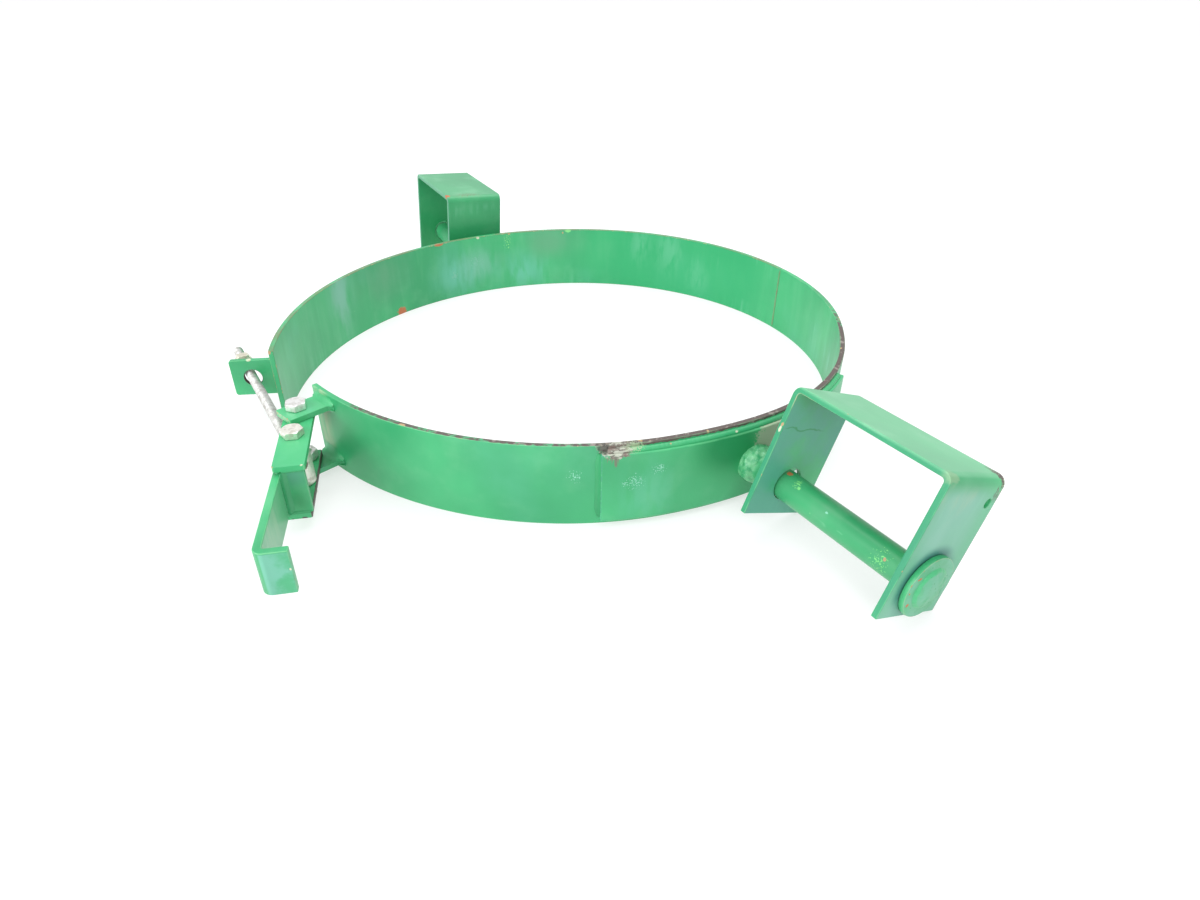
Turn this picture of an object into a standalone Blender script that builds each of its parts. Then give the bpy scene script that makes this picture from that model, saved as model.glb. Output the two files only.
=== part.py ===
"""Drum lifter: a split steel band that clamps round a 208 litre drum.

Two trunnion shafts on the band carry loose fork brackets, and an over-centre
latch with an adjustable tension rod pulls the two band ends together.
Metres, +Z up, +X along the trunnion shafts, the latch on the -Y side.
Angles round the band are counted in degrees from the back, +Y, and are
positive towards +X.
"""

import math

import bmesh
import bpy
from mathutils import Matrix, Vector

# Clearances and edge finish
GAP = 0.0003
BORE_CLEARANCE = 0.0003
EDGE_RADIUS = 0.0006
PAD_EDGE_RADIUS = 0.0012
END_CHAMFER = 0.001
CUT_OVERRUN = 0.004
MERGE_DISTANCE = 0.00001
BEVEL_ANGLE = 40.0
SMOOTH_ANGLE = 35.0

# Band
BAND_HEIGHT = 0.080
BAND_THICKNESS = 0.005
BAND_BACK_RADIUS = 0.280
FLARE_START_ANGLE = 60.0
LEFT_END_ANGLE = -170.8
RIGHT_END_ANGLE = 173.5
LEFT_END_FLARE = 0.052
RIGHT_END_FLARE = 0.030
BULGE_ANGLE = 72.0
BULGE_HALF_ANGLE = 34.0
BULGE_RISE = 0.007
SEAM_ANGLE = 4.0
BAND_STEP_ANGLE = 3.0

# Trunnion pads and shafts
PAD_THICKNESS = 0.006
PAD_INSET = 0.006
PAD_HALF_ANGLE = 28.2
SHAFT_DIAMETER = 0.0265
SHAFT_WELD_DIAMETER = 0.035
SHAFT_WELD_HEIGHT = 0.012
SHAFT_WELD_SHAPE = ((0.32, 0.86), (0.72, 0.50), (1.0, 0.12))
END_WELD_DIAMETER = 0.034
END_WELD_HEIGHT = 0.0035
END_WELD_SHAPE = ((0.62, 1.0), (0.88, 0.72))
END_WASHER_DIAMETER = 0.052
END_WASHER_THICKNESS = 0.005
TRUNNION_ANGLES = {"right": 90.0, "left": -90.0}
SHAFT_AZIMUTHS = {"right": 0.0, "left": 176.0}
SHAFT_SEAT_GAPS = {"right": 0.0005, "left": 0.0003}

# Fork brackets
BRACKET_BAR_WIDTH = 0.076
BRACKET_BAR_THICKNESS = 0.005
BRACKET_SPAN = 0.146
BRACKET_RISE = 0.0885
BRACKET_DROP = 0.028
BRACKET_BEND_RADIUS = 0.008
BRACKET_HOLE_DIAMETER = 0.030
BRACKET_HOLE_OFFSET = 0.0014
BRACKET_SIDE_PLAY = 0.0245
BRACKET_PLAY_SHARES = {"right": 0.0, "left": 0.824}
BRACKET_LEFT_LEAN = 3.5
TIE_HOLE_DIAMETER = 0.008
TIE_HOLE_FROM_SIDE = 0.010
TIE_HOLE_FROM_TOP = 0.021
TIE_HOLE_SIDES = {"right": 1, "left": -1}

# Rod lug on the left band end
LUG_ANGLE = -165.3
LUG_THICKNESS = 0.005
LUG_HEIGHT = 0.040
LUG_DROP = 0.003
LUG_REACH = 0.049
LUG_HOLE_REACH = 0.028
LUG_HOLE_DIAMETER = 0.018
LUG_CORNER_RADIUS = 0.003

# Ears on the right band end
EAR_ANGLE = 170.0
EAR_THICKNESS = 0.005
EAR_WIDTH = 0.0255
EAR_INSET = 0.008
EAR_REACH = 0.040
EAR_ROOT_FLARE = 0.004
EAR_FILLET_SHARE = 0.9
EAR_CORNER_RADIUS = 0.0015
PIVOT_REACH = 0.0247
PIVOT_OFFSET = 0.0038

# Bolts and nuts
BOLT_DIAMETER = 0.010
BOLT_FLATS = 0.017
BOLT_HEAD_HEIGHT = 0.0064
NUT_HEIGHT = 0.0084
BOLT_PROTRUSION = 0.0022
HEX_CHAMFER_SHARE = 0.65
HEX_FACE_SHARE = 0.97
PIVOT_HEAD_TURN = 28.0
LINK_HEAD_TURN = 1.0

# Latch lever
LEVER_AZIMUTH = -19.6
LEVER_LENGTH = 0.0866
LEVER_BACK_LENGTH = 0.0127
STRAP_WIDTH = 0.0255
STRAP_THICKNESS = 0.005
UPPER_STRAP_OFFSET = 0.0014
LOWER_STRAP_OFFSET = -0.0014
STRAP_CORNER_RADIUS = 0.0015
LINK_DISTANCE = 0.0381
END_PLATE_THICKNESS = 0.005
END_PLATE_RECESS = 0.001
HANDLE_TOP_GAP = 0.0027
HANDLE_BOTTOM_GAP = 0.0007
HANDLE_THICKNESS = 0.0065
HANDLE_STAND_OUT = 0.0005
HANDLE_SPREAD = 0.0025
HANDLE_START = 0.0536
HANDLE_END = 0.1851
HANDLE_LIP_WIDTH = 0.0230
HANDLE_BEND_RADIUS = 0.0085

# Tension rod
BARREL_DIAMETER = 0.022
BARREL_HOLE_RAISE = 0.001
ROD_DIAMETER = 0.010
ROD_TAIL = 0.078
ROD_BIAS_ANGLE = 0.4
ADJUSTING_NUT_FLATS = 0.017
ADJUSTING_NUT_HEIGHT = 0.010
ADJUSTING_NUT_DISTANCE = 0.038

ROUND_STEPS = 32
HOLE_STEPS = 24
FILLET_STEPS = 6

# Sizes that follow from those above
MID_HEIGHT = BAND_HEIGHT / 2
PAD_HEIGHT = BAND_HEIGHT - 2 * PAD_INSET
SHAFT_REACH = SHAFT_WELD_HEIGHT + BRACKET_SIDE_PLAY + BRACKET_SPAN
LUG_MID_HEIGHT = MID_HEIGHT - LUG_DROP
BARREL_HOLE_HEIGHT = MID_HEIGHT + BARREL_HOLE_RAISE
UPPER_EAR_TOP = BAND_HEIGHT - EAR_INSET


def clear_scene():
    for scene_object in list(bpy.data.objects):
        bpy.data.objects.remove(scene_object, do_unlink=True)


def make_collection(name):
    collection = bpy.data.collections.new(name)
    bpy.context.scene.collection.children.link(collection)
    return collection


def make_material(name, colour, roughness, metallic):
    material = bpy.data.materials.new(name)
    material.use_nodes = True
    shader = material.node_tree.nodes["Principled BSDF"]
    shader.inputs["Base Color"].default_value = (*colour, 1.0)
    shader.inputs["Roughness"].default_value = roughness
    shader.inputs["Metallic"].default_value = metallic
    return material


def green_paint(name):
    return make_material(name + "_paint", (0.075, 0.42, 0.18), 0.42, 0.0)


def zinc_plate(name):
    return make_material(name + "_zinc", (0.72, 0.73, 0.72), 0.32, 1.0)


def make_empty(name, location, azimuth=0.0, parent=None):
    empty = bpy.data.objects.new(name, None)
    empty.location = location
    empty.rotation_euler = (0.0, 0.0, math.radians(azimuth))
    empty.parent = parent
    PARTS.objects.link(empty)
    return empty


def add_piece(name, mesh, material, parent):
    piece = bpy.data.objects.new(name, mesh)
    piece.data.materials.append(material)
    piece.parent = parent
    PARTS.objects.link(piece)
    return piece


def shade_round(mesh):
    mesh.shade_smooth()
    mesh.set_sharp_from_angle(angle=math.radians(SMOOTH_ANGLE))


def add_bevel(piece, width=EDGE_RADIUS):
    bevel = piece.modifiers.new("edge", "BEVEL")
    bevel.width = width
    bevel.segments = 1
    bevel.limit_method = "ANGLE"
    bevel.angle_limit = math.radians(BEVEL_ANGLE)
    bevel.harden_normals = True


def add_boolean(piece, tool, operation):
    boolean = piece.modifiers.new(operation.lower(), "BOOLEAN")
    boolean.operation = operation
    boolean.solver = "EXACT"
    boolean.object = tool


def hide_tool(tool):
    PARTS.objects.unlink(tool)
    CUTTERS.objects.link(tool)
    tool.hide_render = True
    tool.display_type = "WIRE"


def rounded_corner(before, corner, after, radius):
    """Points of a fillet arc of the given radius at one corner of a path."""
    before, corner, after = Vector(before), Vector(corner), Vector(after)
    inward = (before - corner).normalized()
    outward = (after - corner).normalized()
    half_angle = inward.angle(outward) / 2
    run = radius / math.tan(half_angle)
    centre = corner + (inward + outward).normalized() * (radius / math.sin(half_angle))
    start = corner + inward * run - centre
    sweep = math.pi - 2 * half_angle
    if start.x * (corner + outward * run - centre).y < start.y * (corner + outward * run - centre).x:
        sweep = -sweep
    turns = [Matrix.Rotation(sweep * step / FILLET_STEPS, 2) for step in range(FILLET_STEPS + 1)]
    return [tuple(centre + turn @ start) for turn in turns]


def rounded_path(corners, radius, closed):
    """The corner points of a path with a fillet of one radius at every turn."""
    count = len(corners)
    points = []
    for index, corner in enumerate(corners):
        if not closed and index in (0, count - 1):
            points.append(tuple(corner))
            continue
        before = corners[index - 1]
        after = corners[(index + 1) % count]
        points += rounded_corner(before, corner, after, radius)
    return points


def circle(centre, radius):
    angles = [2 * math.pi * step / HOLE_STEPS for step in range(HOLE_STEPS)]
    return [(centre[0] + radius * math.cos(a), centre[1] + radius * math.sin(a)) for a in angles]


def flat_plate(name, loops, thickness, material, parent):
    """A plate cut from flat bar: a filled outline, its first loop outside, the rest holes."""
    curve = bpy.data.curves.new(name, "CURVE")
    curve.dimensions = "2D"
    curve.fill_mode = "BOTH"
    curve.extrude = thickness / 2
    for loop in loops:
        spline = curve.splines.new("POLY")
        spline.points.add(len(loop) - 1)
        spline.use_cyclic_u = True
        for point, place in zip(spline.points, loop):
            point.co = (place[0], place[1], 0.0, 1.0)
    outline = bpy.data.objects.new(name + "_outline", curve)
    PARTS.objects.link(outline)
    bpy.context.view_layer.update()
    evaluated = outline.evaluated_get(bpy.context.evaluated_depsgraph_get())
    mesh = bpy.data.meshes.new_from_object(evaluated)
    bpy.data.objects.remove(outline, do_unlink=True)
    shell = bmesh.new()
    shell.from_mesh(mesh)
    bmesh.ops.remove_doubles(shell, verts=shell.verts, dist=MERGE_DISTANCE)
    bmesh.ops.dissolve_limit(shell, angle_limit=0.001, verts=shell.verts, edges=shell.edges)
    bmesh.ops.recalc_face_normals(shell, faces=shell.faces)
    if shell.calc_volume(signed=True) < 0.0:
        bmesh.ops.reverse_faces(shell, faces=shell.faces)
    shell.to_mesh(mesh)
    shell.free()
    mesh.name = name
    mesh.materials.clear()
    piece = add_piece(name, mesh, material, parent)
    shade_round(mesh)
    add_bevel(piece)
    return piece


def bent_bar(name, path, width, thickness, material, parent):
    """Flat bar on edge along a plan path: an open strip with the bar's thickness added."""
    mesh = bpy.data.meshes.new(name)
    strip = bmesh.new()
    row = [strip.verts.new((x, y, -width / 2)) for x, y in path]
    edges = [strip.edges.new(pair) for pair in zip(row, row[1:])]
    raised = bmesh.ops.extrude_edge_only(strip, edges=edges)["geom"]
    upper = [item for item in raised if isinstance(item, bmesh.types.BMVert)]
    bmesh.ops.translate(strip, vec=(0.0, 0.0, width), verts=upper)
    strip.to_mesh(mesh)
    strip.free()
    piece = add_piece(name, mesh, material, parent)
    shade_round(mesh)
    wall = piece.modifiers.new("thickness", "SOLIDIFY")
    wall.thickness = thickness
    wall.offset = 0.0
    wall.use_even_offset = True
    return piece


def turned(name, profile, material, parent, closed=False):
    """A turned piece about local Z; the profile runs down the outer side, top to bottom."""
    mesh = bpy.data.meshes.new(name)
    chain = bmesh.new()
    points = [chain.verts.new((radius, 0.0, height)) for radius, height in profile]
    pairs = list(zip(points, points[1:]))
    if closed:
        pairs.append((points[-1], points[0]))
    for pair in pairs:
        chain.edges.new(pair)
    chain.to_mesh(mesh)
    chain.free()
    piece = add_piece(name, mesh, material, parent)
    screw = piece.modifiers.new("turn", "SCREW")
    screw.steps = ROUND_STEPS
    screw.render_steps = ROUND_STEPS
    screw.use_merge_vertices = True
    screw.merge_threshold = MERGE_DISTANCE
    screw.use_smooth_shade = True
    return piece


def rod_profile(radius, low, high):
    """Profile of a round bar with a chamfer at both ends."""
    return [
        (0.0, high),
        (radius - END_CHAMFER, high),
        (radius, high - END_CHAMFER),
        (radius, low + END_CHAMFER),
        (radius - END_CHAMFER, low),
        (0.0, low),
    ]


def cutter_profile(radius, low, high):
    """Profile of a plain cylinder that cuts a hole."""
    return [(0.0, high), (radius, high), (radius, low), (0.0, low)]


def hexagon(name, flats, low, high, material, parent):
    """A hexagonal prism along local Z, measured across its flats."""
    mesh = bpy.data.meshes.new(name)
    prism = bmesh.new()
    corner_radius = flats / math.sqrt(3)
    bmesh.ops.create_cone(
        prism, cap_ends=True, segments=6,
        radius1=corner_radius, radius2=corner_radius, depth=high - low,
    )
    bmesh.ops.translate(prism, vec=(0.0, 0.0, (low + high) / 2), verts=prism.verts)
    prism.to_mesh(mesh)
    prism.free()
    return add_piece(name, mesh, material, parent)


def chamfer_hexagon(piece, flats, low, high, chamfer_low, chamfer_high):
    """Turn the hexagon's corners down at the stated ends, as a machined head or nut has."""
    corner_radius = flats / math.sqrt(3)
    drop = (corner_radius - flats / 2) * HEX_CHAMFER_SHARE
    face_radius = flats / 2 * HEX_FACE_SHARE
    outer_radius = corner_radius + CUT_OVERRUN
    slope = drop / (corner_radius - face_radius) * (outer_radius - face_radius)
    profile = [(0.0, high), (face_radius, high), (outer_radius, high - slope)]
    if not chamfer_high:
        profile = [(0.0, high + CUT_OVERRUN), (outer_radius, high + CUT_OVERRUN)]
    if chamfer_low:
        profile += [(outer_radius, low + slope), (face_radius, low), (0.0, low)]
    else:
        profile += [(outer_radius, low - CUT_OVERRUN), (0.0, low - CUT_OVERRUN)]
    limit = turned(piece.name + "_chamfer", profile, piece.data.materials[0], piece.parent)
    hide_tool(limit)
    add_boolean(piece, limit, "INTERSECT")


def hex_bolt(name, shank_end, head_low, direction, parent, head_turn):
    """Hexagon bolt along Z: its head lies past head_low, its shank ends at shank_end."""
    material = zinc_plate(name)
    head_far = head_low + direction * BOLT_HEAD_HEIGHT
    low, high = min(head_low, head_far), max(head_low, head_far)
    bolt = hexagon(name, BOLT_FLATS, low, high, material, parent)
    chamfer_hexagon(bolt, BOLT_FLATS, low, high, direction < 0, direction > 0)
    overlap = direction * BOLT_HEAD_HEIGHT / 2
    ends = sorted((shank_end, head_low + overlap))
    shank = turned(name + "_shank", rod_profile(BOLT_DIAMETER / 2, *ends), material, parent)
    hide_tool(shank)
    add_boolean(bolt, shank, "UNION")
    bolt.rotation_euler.z = math.radians(head_turn)
    return bolt


def hex_nut(name, flats, low, high, bolt_diameter, parent):
    nut = hexagon(name, flats, low, high, zinc_plate(name), parent)
    chamfer_hexagon(nut, flats, low, high, True, True)
    profile = cutter_profile(bolt_diameter / 2 + BORE_CLEARANCE, low - CUT_OVERRUN, high + CUT_OVERRUN)
    bore = turned(name + "_bore", profile, nut.data.materials[0], parent)
    hide_tool(bore)
    add_boolean(nut, bore, "DIFFERENCE")
    return nut


def band_radius(angle):
    """Inner radius of the sprung band: round at the back, opening towards its two ends.

    The right half is bent out a little over the back part of its pad.
    """
    end_angle, flare = (RIGHT_END_ANGLE, RIGHT_END_FLARE) if angle > 0 else (LEFT_END_ANGLE, LEFT_END_FLARE)
    share = max(0.0, abs(angle) - FLARE_START_ANGLE) / (abs(end_angle) - FLARE_START_ANGLE)
    past_middle = (angle - BULGE_ANGLE) / BULGE_HALF_ANGLE
    bulge = BULGE_RISE * (1 + math.cos(math.pi * past_middle)) / 2 if abs(past_middle) < 1 else 0.0
    return BAND_BACK_RADIUS + flare * share ** 2 + bulge


def band_inner_point(angle):
    turn = math.radians(angle)
    return Vector((math.sin(turn), math.cos(turn))) * band_radius(angle)


def band_normal(angle):
    """Outward unit normal of the band in plan."""
    step = 0.05
    tangent = band_inner_point(angle + step) - band_inner_point(angle - step)
    return Vector((-tangent.y, tangent.x)).normalized()


def band_point(angle, depth):
    """A point at the given depth outwards from the band's inner face."""
    return band_inner_point(angle) + band_normal(angle) * depth


def band_path(start, end, depth):
    steps = max(2, round(abs(end - start) / BAND_STEP_ANGLE))
    angles = [start + (end - start) * step / steps for step in range(steps + 1)]
    return [tuple(band_point(angle, depth)) for angle in angles]


def azimuth_of(vector):
    return math.degrees(math.atan2(vector.y, vector.x))


def make_band(parent):
    half_gap = math.degrees(GAP / 2 / BAND_BACK_RADIUS)
    halves = {
        "band_half_left": (LEFT_END_ANGLE, SEAM_ANGLE - half_gap),
        "band_half_right": (SEAM_ANGLE + half_gap, RIGHT_END_ANGLE),
    }
    for name, (start, end) in halves.items():
        path = band_path(start, end, BAND_THICKNESS / 2)
        half = bent_bar(name, path, BAND_HEIGHT, BAND_THICKNESS, green_paint(name), parent)
        half.location.z = MID_HEIGHT
        add_bevel(half)


def make_trunnion(side, parent):
    """Pad, shaft and end washer of one side; returns the empty on the shaft's axis."""
    angle = TRUNNION_ANGLES[side]
    pad_name = "trunnion_pad_" + side
    pad_depth = BAND_THICKNESS + GAP
    path = band_path(angle - PAD_HALF_ANGLE, angle + PAD_HALF_ANGLE, pad_depth + PAD_THICKNESS / 2)
    pad = bent_bar(pad_name, path, PAD_HEIGHT, PAD_THICKNESS, green_paint(pad_name), parent)
    pad.location.z = MID_HEIGHT
    add_bevel(pad, PAD_EDGE_RADIUS)

    foot = band_point(angle, pad_depth + PAD_THICKNESS + SHAFT_SEAT_GAPS[side])
    axis = make_empty("trunnion_axis_" + side, (*foot, MID_HEIGHT), SHAFT_AZIMUTHS[side], parent)
    turn_to_axis = (0.0, math.radians(90), 0.0)
    shaft_radius = SHAFT_DIAMETER / 2
    weld_radius = SHAFT_WELD_DIAMETER / 2
    washer_far = SHAFT_REACH + END_WASHER_THICKNESS
    end_radius = END_WELD_DIAMETER / 2
    bead = weld_radius - shaft_radius
    weld_foot = washer_far + GAP
    profile = [(0.0, weld_foot + END_WELD_HEIGHT)]
    profile += [(end_radius * out, weld_foot + END_WELD_HEIGHT * up) for out, up in END_WELD_SHAPE]
    profile += [(end_radius, weld_foot), (shaft_radius, weld_foot), (shaft_radius, SHAFT_WELD_HEIGHT)]
    profile += [(shaft_radius + bead * out, SHAFT_WELD_HEIGHT * up) for out, up in SHAFT_WELD_SHAPE]
    profile += [(weld_radius, 0.0), (0.0, 0.0)]
    shaft_name = "trunnion_shaft_" + side
    shaft = turned(shaft_name, profile, green_paint(shaft_name), axis)
    shaft.rotation_euler = turn_to_axis

    washer_name = "end_washer_" + side
    outer = END_WASHER_DIAMETER / 2
    profile = [
        (shaft_radius + BORE_CLEARANCE, washer_far),
        (outer - END_CHAMFER, washer_far),
        (outer, washer_far - END_CHAMFER),
        (outer, SHAFT_REACH + END_CHAMFER),
        (outer - END_CHAMFER, SHAFT_REACH),
        (shaft_radius + BORE_CLEARANCE, SHAFT_REACH),
    ]
    washer = turned(washer_name, profile, green_paint(washer_name), axis, closed=True)
    washer.rotation_euler = turn_to_axis
    return axis


def resting_lean():
    """Lean at which a bracket's lower corner just clears the floor."""
    corner = math.hypot(BRACKET_DROP, BRACKET_BAR_WIDTH / 2)
    corner_angle = math.atan2(BRACKET_BAR_WIDTH / 2, BRACKET_DROP)
    return math.degrees(corner_angle - math.acos(min(1.0, (MID_HEIGHT - GAP) / corner)))


def make_fork_bracket(side, trunnion_axis):
    """Inverted U of flat bar that turns on the shaft; a fork goes between web and shaft."""
    lean = -resting_lean() if side == "right" else BRACKET_LEFT_LEAN
    carrier = make_empty("fork_bracket_axis_" + side, (0.0, 0.0, 0.0), 0.0, trunnion_axis)
    carrier.rotation_euler = (math.radians(lean), 0.0, 0.0)
    outer_face = SHAFT_REACH - GAP - BRACKET_PLAY_SHARES[side] * BRACKET_SIDE_PLAY
    half_bar = BRACKET_BAR_THICKNESS / 2
    far = outer_face - half_bar
    near = outer_face - BRACKET_SPAN + half_bar
    top = BRACKET_RISE - half_bar
    corners = [(near, -BRACKET_DROP), (near, top), (far, top), (far, -BRACKET_DROP)]
    path = rounded_path(corners, BRACKET_BEND_RADIUS - half_bar, closed=False)
    name = "fork_bracket_" + side
    bracket = bent_bar(name, path, BRACKET_BAR_WIDTH, BRACKET_BAR_THICKNESS, green_paint(name), carrier)
    stand_up = (math.radians(90), 0.0, 0.0)
    bracket.rotation_euler = stand_up

    past_legs = half_bar + CUT_OVERRUN
    tie_across = TIE_HOLE_SIDES[side] * (BRACKET_BAR_WIDTH / 2 - TIE_HOLE_FROM_SIDE)
    tie_place = (0.0, tie_across, BRACKET_RISE - TIE_HOLE_FROM_TOP)
    holes = {
        "bore": (BRACKET_HOLE_DIAMETER, near - past_legs, (0.0, 0.0, BRACKET_HOLE_OFFSET)),
        "tie": (TIE_HOLE_DIAMETER, far - past_legs, tie_place),
    }
    for hole_name, (diameter, start, place) in holes.items():
        profile = cutter_profile(diameter / 2, start, far + past_legs)
        cutter = turned(name + "_" + hole_name, profile, bracket.data.materials[0], carrier)
        cutter.rotation_euler = (0.0, math.radians(90), 0.0)
        cutter.location = place
        hide_tool(cutter)
        add_boolean(bracket, cutter, "DIFFERENCE")
    add_bevel(bracket)


def lug_frame():
    """Foot of the lug on the band's outer face, and the direction it stands out in."""
    return band_point(LUG_ANGLE, BAND_THICKNESS), band_normal(LUG_ANGLE)


def make_rod_lug(parent):
    foot, outward = lug_frame()
    frame = make_empty("rod_lug_frame", (*foot, LUG_MID_HEIGHT), azimuth_of(outward), parent)
    half = LUG_HEIGHT / 2
    corners = [(GAP, -half), (LUG_REACH, -half), (LUG_REACH, half), (GAP, half)]
    outline = rounded_path(corners, LUG_CORNER_RADIUS, closed=True)
    hole = circle((LUG_HOLE_REACH, 0.0), LUG_HOLE_DIAMETER / 2)
    lug = flat_plate("rod_lug", [outline, hole], LUG_THICKNESS, green_paint("rod_lug"), frame)
    lug.rotation_euler = (math.radians(90), 0.0, 0.0)


def pivot_point():
    """Pivot axis in plan; its hole lies off the ear's middle, towards the gap of the band."""
    outward = band_normal(EAR_ANGLE)
    across = Vector((-outward.y, outward.x))
    return band_point(EAR_ANGLE, BAND_THICKNESS + PIVOT_REACH) - across * PIVOT_OFFSET


def ear_outline():
    """Plan of an ear about the pivot, +X outwards; its root follows the band's outer face."""
    outward = band_normal(EAR_ANGLE)
    across = Vector((-outward.y, outward.x))
    pivot = pivot_point()
    low, high = PIVOT_OFFSET - EAR_WIDTH / 2, PIVOT_OFFSET + EAR_WIDTH / 2
    end = EAR_REACH - PIVOT_REACH
    half_root = math.degrees((EAR_WIDTH / 2 + EAR_ROOT_FLARE) / (band_radius(EAR_ANGLE) + BAND_THICKNESS))
    root = []
    for step in range(FILLET_STEPS + 1):
        angle = EAR_ANGLE - half_root + 2 * half_root * step / FILLET_STEPS
        offset = band_point(angle, BAND_THICKNESS + GAP) - pivot
        root.append((offset.dot(outward), offset.dot(across)))
    radius = EAR_ROOT_FLARE * EAR_FILLET_SHARE
    first, last = root[-1], root[0]
    low_fillet = rounded_corner(first, (first[0], low), (end, low), radius)
    high_fillet = rounded_corner((end, high), (last[0], high), last, radius)
    low_tip = rounded_corner((0.0, low), (end, low), (end, high), EAR_CORNER_RADIUS)
    high_tip = rounded_corner((end, low), (end, high), (0.0, high), EAR_CORNER_RADIUS)
    return root + low_fillet + low_tip + high_tip + high_fillet


def make_ears(parent):
    pivot = pivot_point()
    frame = make_empty("ear_frame", (*pivot, 0.0), azimuth_of(band_normal(EAR_ANGLE)), parent)
    hole = circle((0.0, 0.0), BOLT_DIAMETER / 2 + BORE_CLEARANCE)
    upper_low = UPPER_EAR_TOP - EAR_THICKNESS
    for name, low in (("upper_ear", upper_low), ("lower_ear", EAR_INSET)):
        ear = flat_plate(name, [ear_outline(), hole], EAR_THICKNESS, green_paint(name), frame)
        ear.location.z = low + EAR_THICKNESS / 2

    strap_top = upper_low - GAP
    nut_high = strap_top - STRAP_THICKNESS - GAP
    nut_low = nut_high - NUT_HEIGHT
    hex_bolt("upper_pivot_bolt", nut_low - BOLT_PROTRUSION, UPPER_EAR_TOP + GAP, 1, frame, PIVOT_HEAD_TURN)
    hex_nut("upper_pivot_nut", BOLT_FLATS, nut_low, nut_high, BOLT_DIAMETER, frame)
    low_nut = (BAND_HEIGHT - nut_high, BAND_HEIGHT - nut_low)
    hex_bolt("lower_pivot_bolt", low_nut[1] + BOLT_PROTRUSION, EAR_INSET - GAP, -1, frame, PIVOT_HEAD_TURN)
    hex_nut("lower_pivot_nut", BOLT_FLATS, *low_nut, BOLT_DIAMETER, frame)


def strap_heights():
    """Outer top of the lever, inner top, inner bottom and outer bottom."""
    top = UPPER_EAR_TOP - EAR_THICKNESS - GAP
    return top, top - STRAP_THICKNESS, BAND_HEIGHT - top + STRAP_THICKNESS, BAND_HEIGHT - top


def make_lever(parent):
    """Two straps, an end plate and the handle bar, all turning about the pivot."""
    pivot = pivot_point()
    lever = make_empty("latch_lever_axis", (*pivot, 0.0), LEVER_AZIMUTH, parent)
    top, inner_top, inner_low, low = strap_heights()
    half = STRAP_WIDTH / 2
    hole_radius = BOLT_DIAMETER / 2 + BORE_CLEARANCE
    holes = [circle((0.0, 0.0), hole_radius), circle((LINK_DISTANCE, 0.0), hole_radius)]
    straps = {
        "lever_upper_strap": (inner_top, UPPER_STRAP_OFFSET),
        "lever_lower_strap": (low, LOWER_STRAP_OFFSET),
    }
    for name, (strap_low, offset) in straps.items():
        sides = (offset - half, offset + half)
        corners = [(-LEVER_BACK_LENGTH, sides[0]), (LEVER_LENGTH, sides[0])]
        corners += [(LEVER_LENGTH, sides[1]), (-LEVER_BACK_LENGTH, sides[1])]
        outline = rounded_path(corners, STRAP_CORNER_RADIUS, closed=True)
        strap = flat_plate(name, [outline, *holes], STRAP_THICKNESS, green_paint(name), lever)
        strap.location.z = strap_low + STRAP_THICKNESS / 2

    handle_side = UPPER_STRAP_OFFSET - half - HANDLE_STAND_OUT
    plate_far = LEVER_LENGTH - END_PLATE_RECESS
    plate_near = plate_far - END_PLATE_THICKNESS
    mean_offset = (UPPER_STRAP_OFFSET + LOWER_STRAP_OFFSET) / 2
    lip_line = HANDLE_END - HANDLE_THICKNESS / 2
    spread_at_plate = HANDLE_SPREAD * (plate_near - HANDLE_START) / (lip_line - HANDLE_START)
    plate_sides = (handle_side + HANDLE_THICKNESS + GAP - spread_at_plate, mean_offset + half)
    plate_outline = [(plate_near, plate_sides[0]), (plate_far, plate_sides[0])]
    plate_outline += [(plate_far, plate_sides[1]), (plate_near, plate_sides[1])]
    name = "lever_end_plate"
    plate = flat_plate(name, [plate_outline], inner_top - inner_low - 2 * GAP, green_paint(name), lever)
    plate.location.z = MID_HEIGHT

    bar_line = handle_side + HANDLE_THICKNESS / 2
    fold = (lip_line, bar_line - HANDLE_SPREAD)
    corners = [(HANDLE_START, bar_line), fold, (lip_line, handle_side + HANDLE_LIP_WIDTH)]
    path = rounded_path(corners, HANDLE_BEND_RADIUS - HANDLE_THICKNESS / 2, closed=False)
    name = "latch_handle"
    handle_low, handle_top = inner_low + HANDLE_BOTTOM_GAP, inner_top - HANDLE_TOP_GAP
    handle = bent_bar(name, path, handle_top - handle_low, HANDLE_THICKNESS, green_paint(name), lever)
    handle.location.z = (handle_low + handle_top) / 2
    add_bevel(handle)

    link = make_empty("link_bolt_axis", (LINK_DISTANCE, 0.0, 0.0), 0.0, lever)
    nut_high = low - GAP
    nut_low = nut_high - NUT_HEIGHT
    hex_bolt("link_bolt", nut_low - BOLT_PROTRUSION, top + GAP, 1, link, LINK_HEAD_TURN)
    hex_nut("link_nut", BOLT_FLATS, nut_low, nut_high, BOLT_DIAMETER, link)
    return pivot + Matrix.Rotation(math.radians(LEVER_AZIMUTH), 2) @ Vector((LINK_DISTANCE, 0.0))


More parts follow.
